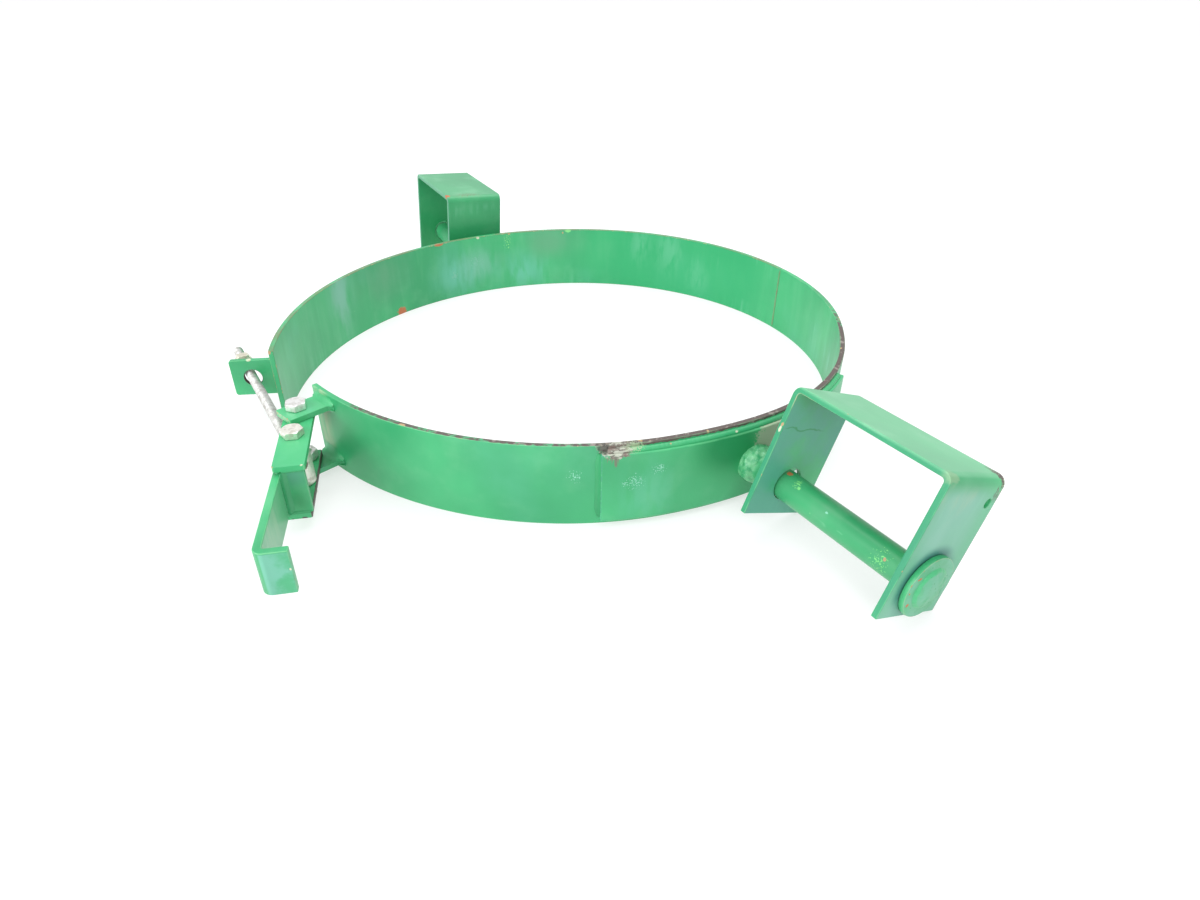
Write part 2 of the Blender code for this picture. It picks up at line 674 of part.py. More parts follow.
def make_tension_rod(link, parent):
    """Barrel on the link bolt, the threaded rod to the lug and the nut behind the lug."""
    foot, outward = lug_frame()
    to_lug = foot + outward * LUG_HOLE_REACH - link
    azimuth = azimuth_of(to_lug) + ROD_BIAS_ANGLE
    frame = make_empty("tension_rod_axis", (*link, 0.0), azimuth, parent)
    drop = math.atan2(BARREL_HOLE_HEIGHT - LUG_MID_HEIGHT, to_lug.length)
    line = make_empty("tension_rod_line", (0.0, 0.0, BARREL_HOLE_HEIGHT), 0.0, frame)
    line.rotation_euler.y = math.radians(90) + drop

    inner_top, inner_low = strap_heights()[1:3]
    low, high = inner_low + GAP, inner_top - GAP
    bore_radius = BOLT_DIAMETER / 2 + BORE_CLEARANCE
    barrel_radius = BARREL_DIAMETER / 2
    profile = [
        (bore_radius, high),
        (barrel_radius - EDGE_RADIUS, high),
        (barrel_radius, high - EDGE_RADIUS),
        (barrel_radius, low + EDGE_RADIUS),
        (barrel_radius - EDGE_RADIUS, low),
        (bore_radius, low),
    ]
    barrel = turned("link_barrel", profile, zinc_plate("link_barrel"), frame, closed=True)
    rod_radius = ROD_DIAMETER / 2
    socket_profile = cutter_profile(rod_radius + BORE_CLEARANCE, -BARREL_DIAMETER, BARREL_DIAMETER)
    socket = turned("link_barrel_socket", socket_profile, barrel.data.materials[0], line)
    hide_tool(socket)
    add_boolean(barrel, socket, "DIFFERENCE")

    rod_start = BOLT_DIAMETER / 2 + 2 * BORE_CLEARANCE
    profile = rod_profile(rod_radius, rod_start, to_lug.length + ROD_TAIL)
    turned("tension_rod", profile, zinc_plate("tension_rod"), line)

    nut_near = to_lug.length + ADJUSTING_NUT_DISTANCE
    carrier = make_empty("adjusting_nut_axis", (0.0, 0.0, nut_near), 0.0, line)
    hex_nut("adjusting_nut", ADJUSTING_NUT_FLATS, 0.0, ADJUSTING_NUT_HEIGHT, ROD_DIAMETER, carrier)


def footprint():
    """Middle of the box round all the pieces, in plan, and its lowest height."""
    bpy.context.view_layer.update()
    graph = bpy.context.evaluated_depsgraph_get()
    lows, highs = [], []
    for piece in PARTS.objects:
        if piece.type != "MESH":
            continue
        evaluated = piece.evaluated_get(graph)
        corners = [evaluated.matrix_world @ vertex.co for vertex in evaluated.data.vertices]
        lows.append([min(corner[axis] for corner in corners) for axis in range(3)])
        highs.append([max(corner[axis] for corner in corners) for axis in range(3)])
    low = [min(values) for values in zip(*lows)]
    high = [max(values) for values in zip(*highs)]
    return Vector(((low[0] + high[0]) / 2, (low[1] + high[1]) / 2, low[2]))


def build():
    root = make_empty("drum_lifter", (0.0, 0.0, 0.0))
    make_band(root)
    for side in ("right", "left"):
        axis = make_trunnion(side, root)
        make_fork_bracket(side, axis)
    make_rod_lug(root)
    make_ears(root)
    link = make_lever(root)
    make_tension_rod(link, root)
    root.location = -footprint()
    bpy.context.view_layer.update()


clear_scene()
PARTS = make_collection("drum_lifter")
CUTTERS = make_collection("cutters")
build()
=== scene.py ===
import math

import bmesh
import bpy
from mathutils import Matrix, Vector, noise


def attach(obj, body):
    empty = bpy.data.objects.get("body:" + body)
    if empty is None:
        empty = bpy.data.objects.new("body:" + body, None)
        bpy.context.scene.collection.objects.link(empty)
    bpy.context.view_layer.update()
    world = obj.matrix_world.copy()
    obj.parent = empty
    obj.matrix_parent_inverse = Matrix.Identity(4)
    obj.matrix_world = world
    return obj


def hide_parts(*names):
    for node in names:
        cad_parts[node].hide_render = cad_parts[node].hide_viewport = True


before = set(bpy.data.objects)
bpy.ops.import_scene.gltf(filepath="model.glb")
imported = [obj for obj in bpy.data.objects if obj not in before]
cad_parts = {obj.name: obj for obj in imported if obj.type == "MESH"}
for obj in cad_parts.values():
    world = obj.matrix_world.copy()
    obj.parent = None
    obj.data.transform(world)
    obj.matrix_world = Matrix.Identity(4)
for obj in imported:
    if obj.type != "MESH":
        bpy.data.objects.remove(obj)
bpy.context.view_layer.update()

# Sizes and places that the solids have, in metres and degrees
GAP = 0.0003
BAND_CENTRE = Vector((-0.00070, 0.06066, 0.0))
BAND_HEIGHT = 0.080
BAND_THICKNESS = 0.005
BAND_CORNER = 0.0006
BAND_RADIUS = 0.280
FLARE_START = 60.0
BAND_ENDS = {"left": -170.8, "right": 173.5}
END_FLARES = {"left": 0.052, "right": 0.030}
BULGE_ANGLE, BULGE_HALF_ANGLE, BULGE_RISE = 72.0, 34.0, 0.007
SEAM_ANGLE = 4.0
PAD_THICKNESS = 0.006
PAD_HALF_ANGLE = 28.2
PAD_LOW, PAD_HIGH = 0.006, 0.074
SHAFT_REACH = 0.1825
SHAFT_RADIUS = 0.01325
COLLAR_RADIUS = 0.0175
COLLAR_HEIGHT = 0.012
WASHER_RADIUS = 0.026
WASHER_THICKNESS = 0.005
PLUG_WELD = (
    (0.0178, 0.0), (0.0170, 0.0004), (0.0163, 0.0014), (0.0148, 0.0022),
    (0.0138, 0.0022), (0.0118, 0.0027), (0.0085, 0.0035), (0.0040, 0.0037),
)
BAR_THICKNESS = 0.005
BRACKET_WIDTH = 0.076
BRACKET_RISE = 0.0885
BRACKET_DROP = 0.028
BRACKET_FOLD = 0.008
BRACKET_LEGS = {"right": (0.0362, 0.1822), "left": (0.0160, 0.1620)}
BRACKET_HOLE = (0.015, 0.0014)
TIE_HOLE = (0.004, 0.028, 0.0675)
LUG_HOLE_REACH = 0.028
BOLT_RADIUS = 0.005
SHANK_RADIUS, HEAD_HEIGHT = 0.0046, 0.0064
FLATS = 0.017
LINK_DISTANCE = 0.0381
LUG_LENGTH, LUG_HALF_WIDTH, LUG_HALF_THICKNESS = 0.049, 0.020, 0.0025
LUG_HOLE_RADIUS = 0.009
UPPER_EAR_LOW, LOWER_EAR_LOW = 0.067, 0.008
EAR_ANGLE = 170.0
EAR_START, EAR_TIP = -0.0207, 0.0153
EAR_SHIFT, EAR_HALF_WIDTH = 0.0038, 0.01275
EAR_FLARE_LENGTH, EAR_FLARE_RISE = 0.0036, 0.0040
STRAP_START, STRAP_END = -0.0127, 0.0866
STRAP_SHIFT, STRAP_HALF_WIDTH = 0.0014, 0.01275
UPPER_STRAP_LOW, LOWER_STRAP_LOW = 0.0617, 0.0133
PLATE_THICKNESS = 0.005
WEB_NEAR, WEB_FAR = 0.0806, 0.0856
WEB_LOW, WEB_HIGH = 0.0186, 0.0614
HANDLE_START, HANDLE_END = 0.0536, 0.1851
HANDLE_SIDE = STRAP_SHIFT - STRAP_HALF_WIDTH - 0.0005
HANDLE_THICKNESS, HANDLE_WIDTH, HANDLE_HEIGHT = 0.0065, 0.040, 0.039
HANDLE_LEAN, HANDLE_LIP = 0.0025, 0.0230
BARREL_RADIUS = 0.0110
ROD_HEIGHT, ROD_TILT = 0.041, 91.2
ROD_END = 0.1898 + 0.078
PITCH = 0.0015
BEAD_STEP = 0.0006
WELD_SINK = 0.0008

# Frames of the pieces that stand at a slant: place and turn in degrees
TRUNNION_RIGHT = ((0.29637, 0.06023, 0.04), (0.0, 0.0, 0.0))
TRUNNION_LEFT = ((-0.29610, 0.06125, 0.04), (0.0, 0.0, 176.0))
BRACKET_RIGHT = ((0.29637, 0.06023, 0.04), (-20.869, 0.0, 0.0))
BRACKET_LEFT = ((-0.29610, 0.06125, 0.04), (3.5, 0.0, 176.0))
LEVER = ((0.05706, -0.27248, 0.0), (0.0, 0.0, -19.6))
EARS = ((0.05706, -0.27248, 0.0), (0.0, 0.0, -74.558))
LUG = ((-0.08567, -0.26019, 0.037), (0.0, 0.0, -113.583))
LINK = ((0.09295, -0.28526, 0.0), (0.0, 0.0, -19.6))
ROD = ((0.09295, -0.28526, 0.041), (0.0, 91.207, -179.422))
NUT_LOW, NUT_HEIGHT = 0.2278, 0.010

# The photo's camera
CAMERA_PLACE = (0.704764, -0.360640, 0.4212)
CAMERA_TURN = (56.88198, -0.9396, 58.31029)
FOCAL_PIXELS, PHOTO_PIXELS = 771.63, 1200
SENSOR_WIDTH = 36.0

# The same along all three axes, for patterns that aren't stretched and for white light
EVEN = (1.0, 1.0, 1.0)

# Floor and lights: name, place, aim, size, power and colour
FLOOR_GREYS = ((0.365, 0.36, 0.365, 1.0), (0.385, 0.38, 0.385, 1.0))
FLOOR_GLOW = 0.62
LIGHTS = (
    ("overhead", (-0.3, 0.4, 2.6), (0.0, 0.0, 0.0), 2.8, 44.0, EVEN),
    ("front", (0.3, -2.8, 1.3), (0.0, 0.0, 0.04), 2.4, 58.0, (0.98, 1.0, 1.0)),
    ("window", (2.3, -1.3, 1.8), (0.0, 0.0, 0.05), 1.6, 22.0, (0.97, 0.99, 1.0)),
)

# Paint and metal colours, linear
FRESH_GREEN = (0.052, 0.425, 0.165)
DEEP_GREEN = (0.030, 0.310, 0.120)
CHALKY_GREEN = (0.170, 0.500, 0.270)
TEAL = (0.110, 0.440, 0.300)
PALE_DRIP_AND_GLINT = (0.220, 0.560, 0.390)
EDGE_GREEN = (0.200, 0.560, 0.270)
RIM_BROWN = (0.200, 0.150, 0.085)
YELLOW_GREEN = (0.190, 0.610, 0.200)
PALE_GREEN = (0.190, 0.500, 0.285)
PALE_TEAL = (0.190, 0.445, 0.335)
GRIME_AND_SHADOW = (0.030, 0.170, 0.150)
BARE_STEEL = (0.100, 0.078, 0.068)
BRIGHT_SCRATCH = (0.380, 0.340, 0.300)
SCUFFED_STEEL = (0.420, 0.440, 0.360)
CRACK = (0.055, 0.050, 0.042)
SCORCH = (0.170, 0.125, 0.105)
PRIMER_TAN = (0.420, 0.290, 0.150)
CREAM = (0.560, 0.590, 0.430)
GREY_CREAM = (0.330, 0.400, 0.270)
DARK_GREEN = (0.012, 0.235, 0.075)
RUBBED = (0.330, 0.440, 0.260)
GREY_GREEN = (0.095, 0.330, 0.170)
RUST = (0.470, 0.150, 0.060)
WET_GREEN = (0.006, 0.325, 0.112)
EDGE_SHADE_GREEN = (0.030, 0.265, 0.135)
SHADED_LEG_TEAL = (0.085, 0.330, 0.250)
WEB_REFLECTION_TEAL = (0.075, 0.300, 0.185)
HANDLE_PALE = (0.240, 0.500, 0.330)
LIP_GREEN = (0.105, 0.420, 0.250)
LIP_TEAL = (0.150, 0.440, 0.320)


class Field:
    """A shader socket that takes Python arithmetic and adds its Math nodes."""

    def __init__(self, finish, socket):
        self.finish = finish
        self.socket = socket

    def apply(self, operation, other, swapped=False):
        pair = (other, self) if swapped else (self, other)
        return self.finish.node("ShaderNodeMath", {"operation": operation}, {0: pair[0], 1: pair[1]})

    def __add__(self, other):
        return self.apply("ADD", other)

    def __radd__(self, other):
        return self.apply("ADD", other, True)

    def __sub__(self, other):
        return self.apply("SUBTRACT", other)

    def __rsub__(self, other):
        return self.apply("SUBTRACT", other, True)

    def __mul__(self, other):
        return self.apply("MULTIPLY", other)

    def __rmul__(self, other):
        return self.apply("MULTIPLY", other, True)

    def __abs__(self):
        return self.apply("ABSOLUTE", 0.0)

    def most(self, other):
        return self.apply("MAXIMUM", other)


class Finish:
    """A material whose colour, roughness, metal and relief are built up in layers."""

    def __init__(self, name, turned_to=None):
        self.material = bpy.data.materials.new(name)
        self.material.use_nodes = True
        self.tree = self.material.node_tree
        self.shader = self.tree.nodes["Principled BSDF"]
        coordinates = self.tree.nodes.new("ShaderNodeTexCoord")
        self.point = Field(self, coordinates.outputs["Object"])
        self.local = self.point
        if turned_to:
            place, turn = turned_to
            values = {"Location": place, "Rotation": [math.radians(angle) for angle in turn]}
            values["Vector"] = self.point
            self.local = self.node("ShaderNodeMapping", {"vector_type": "TEXTURE"}, values)
        self.x, self.y, self.z = self.axes(self.local)
        self.colour = (1.0, 1.0, 1.0, 1.0)
        self.roughness = 0.5
        self.metal = 0.0
        self.relief = 0.0

    def node(self, kind, settings, inputs, output=0):
        """Adds a node, its settings first and then the values or links of its sockets."""
        added = self.tree.nodes.new(kind)
        for key, value in settings.items():
            setattr(added, key, value)
        for key, value in inputs.items():
            if isinstance(value, Field):
                self.tree.links.new(value.socket, added.inputs[key])
            else:
                added.inputs[key].default_value = value
        return Field(self, added.outputs[output])

    def axes(self, vector):
        first = self.node("ShaderNodeSeparateXYZ", {}, {0: vector})
        outputs = first.socket.node.outputs
        return first, Field(self, outputs[1]), Field(self, outputs[2])

    def vector(self, operation, *values, output=0):
        return self.node("ShaderNodeVectorMath", {"operation": operation}, dict(enumerate(values)), output)

    def noise(self, scale, detail=3.0, stretch=EVEN, shift=(0.0, 0.0, 0.0)):
        """Noise from 0 to 1 in the piece's own frame; the scale is in cells per metre."""
        vector = self.vector("MULTIPLY_ADD", self.local, stretch, shift)
        return self.node("ShaderNodeTexNoise", {}, {"Vector": vector, "Scale": scale, "Detail": detail})

    def step(self, field, low, high):
        """0 below low, 1 above high, smooth between."""
        values = {"Value": field, "From Min": low, "From Max": high}
        return self.node("ShaderNodeMapRange", {"interpolation_type": "SMOOTHSTEP"}, values)

    def fade(self, field, low, high):
        """1 below low, 0 above high, smooth between."""
        return 1.0 - self.step(field, low, high)

    def mix(self, factor, first, second):
        values = {"Factor": factor, 6: first, 7: second}
        return self.node("ShaderNodeMix", {"data_type": "RGBA"}, values, 2)

    def distance(self, place, centre, stretch):
        """Distance from a point, with each axis drawn out by its stretch or left out by 0."""
        offset = self.vector("SUBTRACT", place, centre)
        return self.vector("LENGTH", self.vector("MULTIPLY", offset, stretch), output=1)

    def spot(self, centre, radius, stretch=EVEN, ragged=0.6):
        """A ragged patch round a point of the resting object."""
        torn = self.distance(self.point, centre, stretch) + (self.tear - 0.5) * (2.0 * ragged * radius)
        return self.fade(torn, radius * 0.8, radius * 1.1)

    def near(self, centre, radius, stretch=EVEN):
        """1 at a point of the resting object, fading to 0 at the radius."""
        return self.fade(self.distance(self.point, centre, stretch), 0.0, radius)

    def attribute(self, name):
        return self.node("ShaderNodeAttribute", {"attribute_name": name}, {}, 2)

    def around(self, radius, near, far):
        """1 within a radius of the shaft's axis, the X axis of the piece's own frame."""
        distance = self.distance(self.local, (0.0, 0.0, 0.0), (0.0, 1.0, 1.0))
        return self.fade(distance, radius + near, radius + far)

    def ridge(self):
        """1 on the rounded edges."""
        return self.step(self.attribute("ridge"), 0.2, 0.8)

    def layer(self, mask, colour, roughness, metal=0.0, depth=0.0):
        """Lays one finish over those below it wherever the mask is 1."""
        self.colour = self.mix(mask, self.colour, (*colour, 1.0))
        self.roughness = self.roughness * (1.0 - mask) + mask * roughness
        self.metal = self.metal * (1.0 - mask) + mask * metal
        self.relief = self.relief + mask * depth

    def done(self, bump_distance=0.001):
        self.tree.links.new(self.colour.socket, self.shader.inputs["Base Color"])
        self.tree.links.new(self.roughness.socket, self.shader.inputs["Roughness"])
        if isinstance(self.metal, Field):
            self.tree.links.new(self.metal.socket, self.shader.inputs["Metallic"])
        else:
            self.shader.inputs["Metallic"].default_value = self.metal
        values = {"Height": self.relief, "Distance": bump_distance, "Strength": 1.0}
        bump = self.node("ShaderNodeBump", {}, values)
        self.tree.links.new(bump.socket, self.shader.inputs["Normal"])
        return self.material


class Enamel(Finish):
    """Brushed-on green enamel with broad changes of tone, dust and small chips."""

    def __init__(self, name, turned_to=None, dull=0.35, seed=0.0, shade=1.0):
        super().__init__(name, turned_to)
        shift = (seed, seed * 0.7, seed * 1.3)
        self.tear = self.noise(420.0, 4.0, shift=shift)
        self.speckle = self.noise(820.0, 3.0, shift=shift)
        broad = self.noise(9.0, 3.0, shift=shift)
        cloud = self.noise(34.0, 5.0, shift=shift)
        grain = self.noise(1600.0, 2.0, shift=shift)
        tone = self.step(broad, 0.30, 0.72)
        deep, fresh, chalky = [
            (*(part * shade for part in colour), 1.0) for colour in (DEEP_GREEN, FRESH_GREEN, CHALKY_GREEN)
        ]
        self.colour = self.mix(tone, deep, fresh)
        self.colour = self.mix(self.step(cloud, 0.46, 0.80) * dull, self.colour, chalky)
        self.roughness = 0.30 + cloud * 0.16
        self.relief = grain * 0.018 + cloud * 0.10
        self.shader.inputs["Specular IOR Level"].default_value = 0.5
        pin = self.noise(260.0, 3.0, shift=(seed + 3.0, 0.0, 0.0))
        self.layer(self.step(pin, 0.775, 0.79), YELLOW_GREEN, 0.45, depth=-0.05)

    def oxide(self, strength, scale=22.0, cut=0.50, where=1.0, colour=TEAL):
        """Teal bloom where the enamel has weathered."""
        bloom = self.noise(scale, 6.0, shift=(7.0, 3.0, 1.0))
        self.layer(self.step(bloom, cut, cut + 0.22) * strength * where, colour, 0.48)

    def drips(self, strength, where=1.0):
        """Fine pale runs down an upright face, stronger in some stretches."""
        run = self.noise(150.0, 4.0, (1.0, 1.0, 0.07), (2.0, 5.0, 0.0))
        fade = self.noise(13.0, 3.0, (1.0, 1.0, 1.6), (4.0, 9.0, 2.0))
        mask = self.step(run, 0.46, 0.78) * self.step(fade, 0.46, 0.72) * strength * where
        self.layer(mask, PALE_DRIP_AND_GLINT, 0.50)

    def bloom(self, centre, radius, stretch, colour, strength, where=1.0, grain=70.0):
        """A soft cloud of another tone, broken up by upright streaks."""
        streak = self.noise(grain, 5.0, (1.0, 1.0, 0.3), (6.0, 8.0, 3.0))
        cloud = self.near(centre, radius, stretch)
        self.layer(cloud * self.step(streak + cloud * 0.12, 0.34, 0.66) * strength * where, colour, 0.46)

    def chip(self, place, radius, colour, stretch=EVEN, cover=1.0):
        """A chip in the paint; a cover below 1 leaves loose specks."""
        if cover < 1.0:
            close = self.near(place, radius * 1.5, stretch)
            mask = self.step(self.speckle + close * (0.26 * cover), 0.655, 0.695)
            mask = mask * self.step(close, 0.02, 0.12)
        else:
            mask = self.spot(place, radius, stretch)
        self.layer(mask, colour, 0.60, depth=-0.08)

    def chips(self, marks):
        for mark in marks:
            self.chip(*mark)

    def edge_highlight_and_wear(self, strength=0.55, bites=0.62, colour=EDGE_GREEN):
        """A line along the rounded edges with rare bare bites: in the default lighter green it is a painted
        highlight, in another colour it is wear.
        """
        ridge = self.ridge()
        along = self.noise(45.0, 4.0, shift=(3.0, 12.0, 6.0))
        self.layer(ridge * self.step(along, 0.32, 0.55) * strength, colour, 0.45)
        bite = self.noise(170.0, 5.0, shift=(11.0, 2.0, 8.0))
        self.layer(ridge * self.step(bite, bites, bites + 0.05), PRIMER_TAN, 0.6, depth=-0.06)


def zinc(name, warmth=0.0, rough=0.34, bright=1.0):
    """Bright zinc plate, clouded and a little spangled."""
    coat = Finish(name)
    cloud = coat.noise(190.0, 4.0)
    grain = coat.noise(1500.0, 2.0)
    cool = [part * bright for part in (0.72, 0.72 - 0.03 * warmth, 0.71 - 0.15 * warmth)] + [1.0]
    dull = [part * bright for part in (0.50, 0.49 - 0.03 * warmth, 0.47 - 0.12 * warmth)] + [1.0]
    coat.colour = coat.mix(coat.step(cloud, 0.40, 0.68), cool, dull)
    coat.roughness = rough + cloud * 0.18
    coat.metal = 0.85 - coat.step(cloud, 0.45, 0.75) * 0.35
    coat.relief = grain * 0.02 + cloud * 0.05
    return coat.done()


def add_object(name, data):
    added = bpy.data.objects.new(name, data)
    bpy.context.scene.collection.objects.link(added)
    return added


def deselect():
    bpy.ops.object.select_all(action="DESELECT")


def activate(piece):
    deselect()
    piece.select_set(True)
    bpy.context.view_layer.objects.active = piece


def start_piece(name):
    """The primitive just added, named and open in edit mode."""
    piece = bpy.context.object
    piece.name = name
    piece.data.name = name
    activate(piece)
    bpy.ops.object.mode_set(mode="EDIT")
    return piece


def leave_edit():
    bpy.ops.object.mode_set(mode="OBJECT")


def face_outwards():
    """Turns every face of the open piece outwards and leaves edit mode."""
    bpy.ops.mesh.select_all(action="SELECT")
    bpy.ops.mesh.normals_make_consistent(inside=False)
    leave_edit()


def settle(piece):
    """Puts the object's own place, turn and scale into its mesh."""
    activate(piece)
    bpy.ops.object.transform_apply(location=True, rotation=True, scale=True)


def extrude(move):
    bpy.ops.mesh.extrude_region_move(TRANSFORM_OT_translate={"value": move})


def turn_mesh(piece, angle, axis):
    piece.data.transform(Matrix.Rotation(math.radians(angle), 4, axis))


def pick(piece, kind, test):
    """Selects the vertices, edges or faces that pass the test, by place or normal."""
    bpy.ops.mesh.select_mode(type=kind)
    bpy.ops.mesh.select_all(action="DESELECT")
    shell = bmesh.from_edit_mesh(piece.data)
    items = {"VERT": shell.verts, "EDGE": shell.edges, "FACE": shell.faces}[kind]
    for item in items:
        if test(item):
            item.select_set(True)
    bmesh.update_edit_mesh(piece.data)


def middle(item):
    return sum((vertex.co for vertex in item.verts), Vector()) / len(item.verts)


def stands_upright(edge, height):
    return abs(edge.verts[0].co.z - edge.verts[1].co.z) > height


def move_points(piece, rule):
    """Moves every vertex of an open piece to where the rule puts it."""
    shell = bmesh.from_edit_mesh(piece.data)
    for vertex in shell.verts:
        vertex.co = rule(vertex)
    bmesh.update_edit_mesh(piece.data)


def modify(piece, kind, **settings):
    modifier = piece.modifiers.new(kind.lower(), kind)
    for key, value in settings.items():
        setattr(modifier, key, value)
    activate(piece)
    bpy.ops.object.modifier_apply(modifier=modifier.name)


def thicken(piece, thickness):
    """Gives a sheet its thickness, half to each side."""
    modify(piece, "SOLIDIFY", thickness=thickness, offset=0.0, use_even_offset=True)


def soften(piece, width, segments=3, angle=32.0):
    """Rounds the sharp edges and evens out the shading of the flats."""
    modify(
        piece, "BEVEL", width=width, segments=segments, limit_method="ANGLE",
        angle_limit=math.radians(angle), harden_normals=True, use_clamp_overlap=True,
    )
    mark_ridges(piece, width)
    even_shading(piece)


def mark_ridges(piece, width):
    """Marks the vertices inside a rounded edge with 1 for the paint, those of the flats with 0."""
    mesh = piece.data
    widest = [0.0] * len(mesh.vertices)
    for face in mesh.polygons:
        corners = [mesh.vertices[index].co for index in face.vertices]
        girth = sum((a - b).length for a, b in zip(corners, corners[1:] + corners[:1]))
        for index in face.vertices:
            widest[index] = max(widest[index], 2.0 * face.area / max(girth, 1e-9))
    ridges = mesh.attributes.new("ridge", "FLOAT", "POINT")
    for item, size in zip(ridges.data, widest):
        item.value = 1.0 if size < width * 0.75 else 0.0


def even_shading(piece, angle=42.0):
    activate(piece)
    bpy.ops.object.shade_smooth_by_angle(angle=math.radians(angle))
    modify(piece, "WEIGHTED_NORMAL", keep_sharp=True)


def combine(piece, tool, operation):
    modify(piece, "BOOLEAN", operation=operation, solver="EXACT", object=tool)
    bpy.data.objects.remove(tool, do_unlink=True)


def bore(piece, centre, radius, depth, turn=(0.0, 0.0, 0.0), sides=40):
    deselect()
    angles = [math.radians(angle) for angle in turn]
    bpy.ops.mesh.primitive_cylinder_add(
        vertices=sides, radius=radius, depth=depth, location=centre, rotation=angles,
    )
    combine(piece, bpy.context.object, "DIFFERENCE")


def frame_matrix(place_and_turn):
    place, turn = place_and_turn
    matrix = Matrix.Translation(place)
    for axis, angle in (("Z", turn[2]), ("Y", turn[1]), ("X", turn[0])):
        matrix = matrix @ Matrix.Rotation(math.radians(angle), 4, axis)
    return matrix


def finish_piece(piece, body, material, nodes=(), frame_at=None):
    """Puts a piece into the shared frame, gives it its finish and lets it ride on its body."""
    settle(piece)
    if frame_at:
        piece.data.transform(frame_matrix(frame_at))
    piece.data.materials.clear()
    piece.data.materials.append(material)
    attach(piece, body)
    if nodes:
        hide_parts(*nodes)


def painted(piece, body, coat, nodes, frame_at=None):
    finish_piece(piece, body, coat.done(), nodes, frame_at)


def lumps(piece, amount, scale, where=None):
    """Small lumps of weld metal, the same each time the script runs."""
    for vertex in piece.data.vertices:
        if where and not where(vertex.co):
            continue
        push = noise.noise(vertex.co * scale) * amount
        vertex.co += vertex.normal * push


def band_radius(angle):
    side = "right" if angle > 0 else "left"
    share = max(0.0, abs(angle) - FLARE_START) / (abs(BAND_ENDS[side]) - FLARE_START)
    past_middle = (angle - BULGE_ANGLE) / BULGE_HALF_ANGLE
    bulge = BULGE_RISE * (1 + math.cos(math.pi * past_middle)) / 2 if abs(past_middle) < 1 else 0.0
    return BAND_RADIUS + END_FLARES[side] * share ** 2 + bulge


def inner_point(angle):
    turn = math.radians(angle)
    return Vector((math.sin(turn), math.cos(turn), 0.0)) * band_radius(angle)


def band_normal(angle):
    tangent = inner_point(angle + 0.05) - inner_point(angle - 0.05)
    return Vector((-tangent.y, tangent.x, 0.0)).normalized()


def band_point(angle, depth, height=0.0):
    place = BAND_CENTRE + inner_point(angle) + band_normal(angle) * depth
    return Vector((place.x, place.y, height))


def rolled_strip(name, start, end, depth, low, high, thickness, corner):
    """Flat bar rolled on edge: part of a circle drawn out along the band and raised."""
    steps = round(abs(end - start))
    deselect()
    bpy.ops.mesh.primitive_circle_add(vertices=360, radius=BAND_RADIUS)
    strip = start_piece(name)
    pick(strip, "VERT", lambda vertex: vertex.index > steps)
    bpy.ops.mesh.delete(type="VERT")
    middle_depth = depth + thickness / 2

    def along(vertex):
        return band_point(start + (end - start) * vertex.index / steps, middle_depth, low)

    move_points(strip, along)
    rows = 4
    bpy.ops.mesh.select_all(action="SELECT")
    for _ in range(rows):
        extrude((0.0, 0.0, (high - low) / rows))
    face_outwards()
    thicken(strip, thickness)
    soften(strip, corner)
    return strip


def turned(name, rings, sides=56):
    """A turned piece about local Z, drawn out ring by ring from the bottom."""
    deselect()
    radius, height = rings[0]
    bpy.ops.mesh.primitive_circle_add(
        vertices=sides, radius=radius, fill_type="NGON", location=(0, 0, height),
    )
    piece = start_piece(name)
    bpy.ops.mesh.select_all(action="SELECT")
    for next_radius, next_height in rings[1:]:
        extrude((0.0, 0.0, next_height - height))
        factor = next_radius / radius
        bpy.ops.transform.resize(value=(factor, factor, 1.0), center_override=(0.0, 0.0, next_height))
        radius, height = next_radius, next_height
    face_outwards()
    settle(piece)
    return piece


def plate(name, low, high, corners=0.0, steps=5):
    """A block between two corner points; its upright edges are rounded in plan."""
    deselect()
    centre = [(a + b) / 2 for a, b in zip(low, high)]
    size = [b - a for a, b in zip(low, high)]
    bpy.ops.mesh.primitive_cube_add(size=1.0, location=centre, scale=size)
    piece = bpy.context.object
    settle(piece)
    piece = start_piece(name)
    if corners:
        pick(piece, "EDGE", lambda edge: stands_upright(edge, size[2] / 2))
        bpy.ops.mesh.bevel(offset=corners, segments=steps, affect="EDGES")
    leave_edit()
    return piece


def folded_bar(name, corners, width, thickness, radius):
    """Flat bar folded at each inner corner of a path in local X and Z."""
    deselect()
    bpy.ops.mesh.primitive_plane_add(size=1.0)
    bar = start_piece(name)
    first, second = [Vector((x, 0.0, z)) for x, z in corners[:2]]

    def lay(vertex):
        across = Vector((0.0, math.copysign(width / 2, vertex.co.y), 0.0))
        return (first if vertex.co.x < 0 else second) + across

    move_points(bar, lay)
    for (x, z), (next_x, next_z) in zip(corners[1:], corners[2:]):
        end = Vector((x, 0.0, z))
        pick(bar, "EDGE", lambda edge: (middle(edge) - end).length < 0.0005)
        extrude((next_x - x, 0.0, next_z - z))
    folds = [Vector((x, 0.0, z)) for x, z in corners[1:-1]]
    pick(bar, "EDGE", lambda edge: any((middle(edge) - fold).length < 0.0005 for fold in folds))
    bpy.ops.mesh.bevel(offset=radius - thickness / 2, segments=8, affect="EDGES")
    face_outwards()
    thicken(bar, thickness)
    return bar


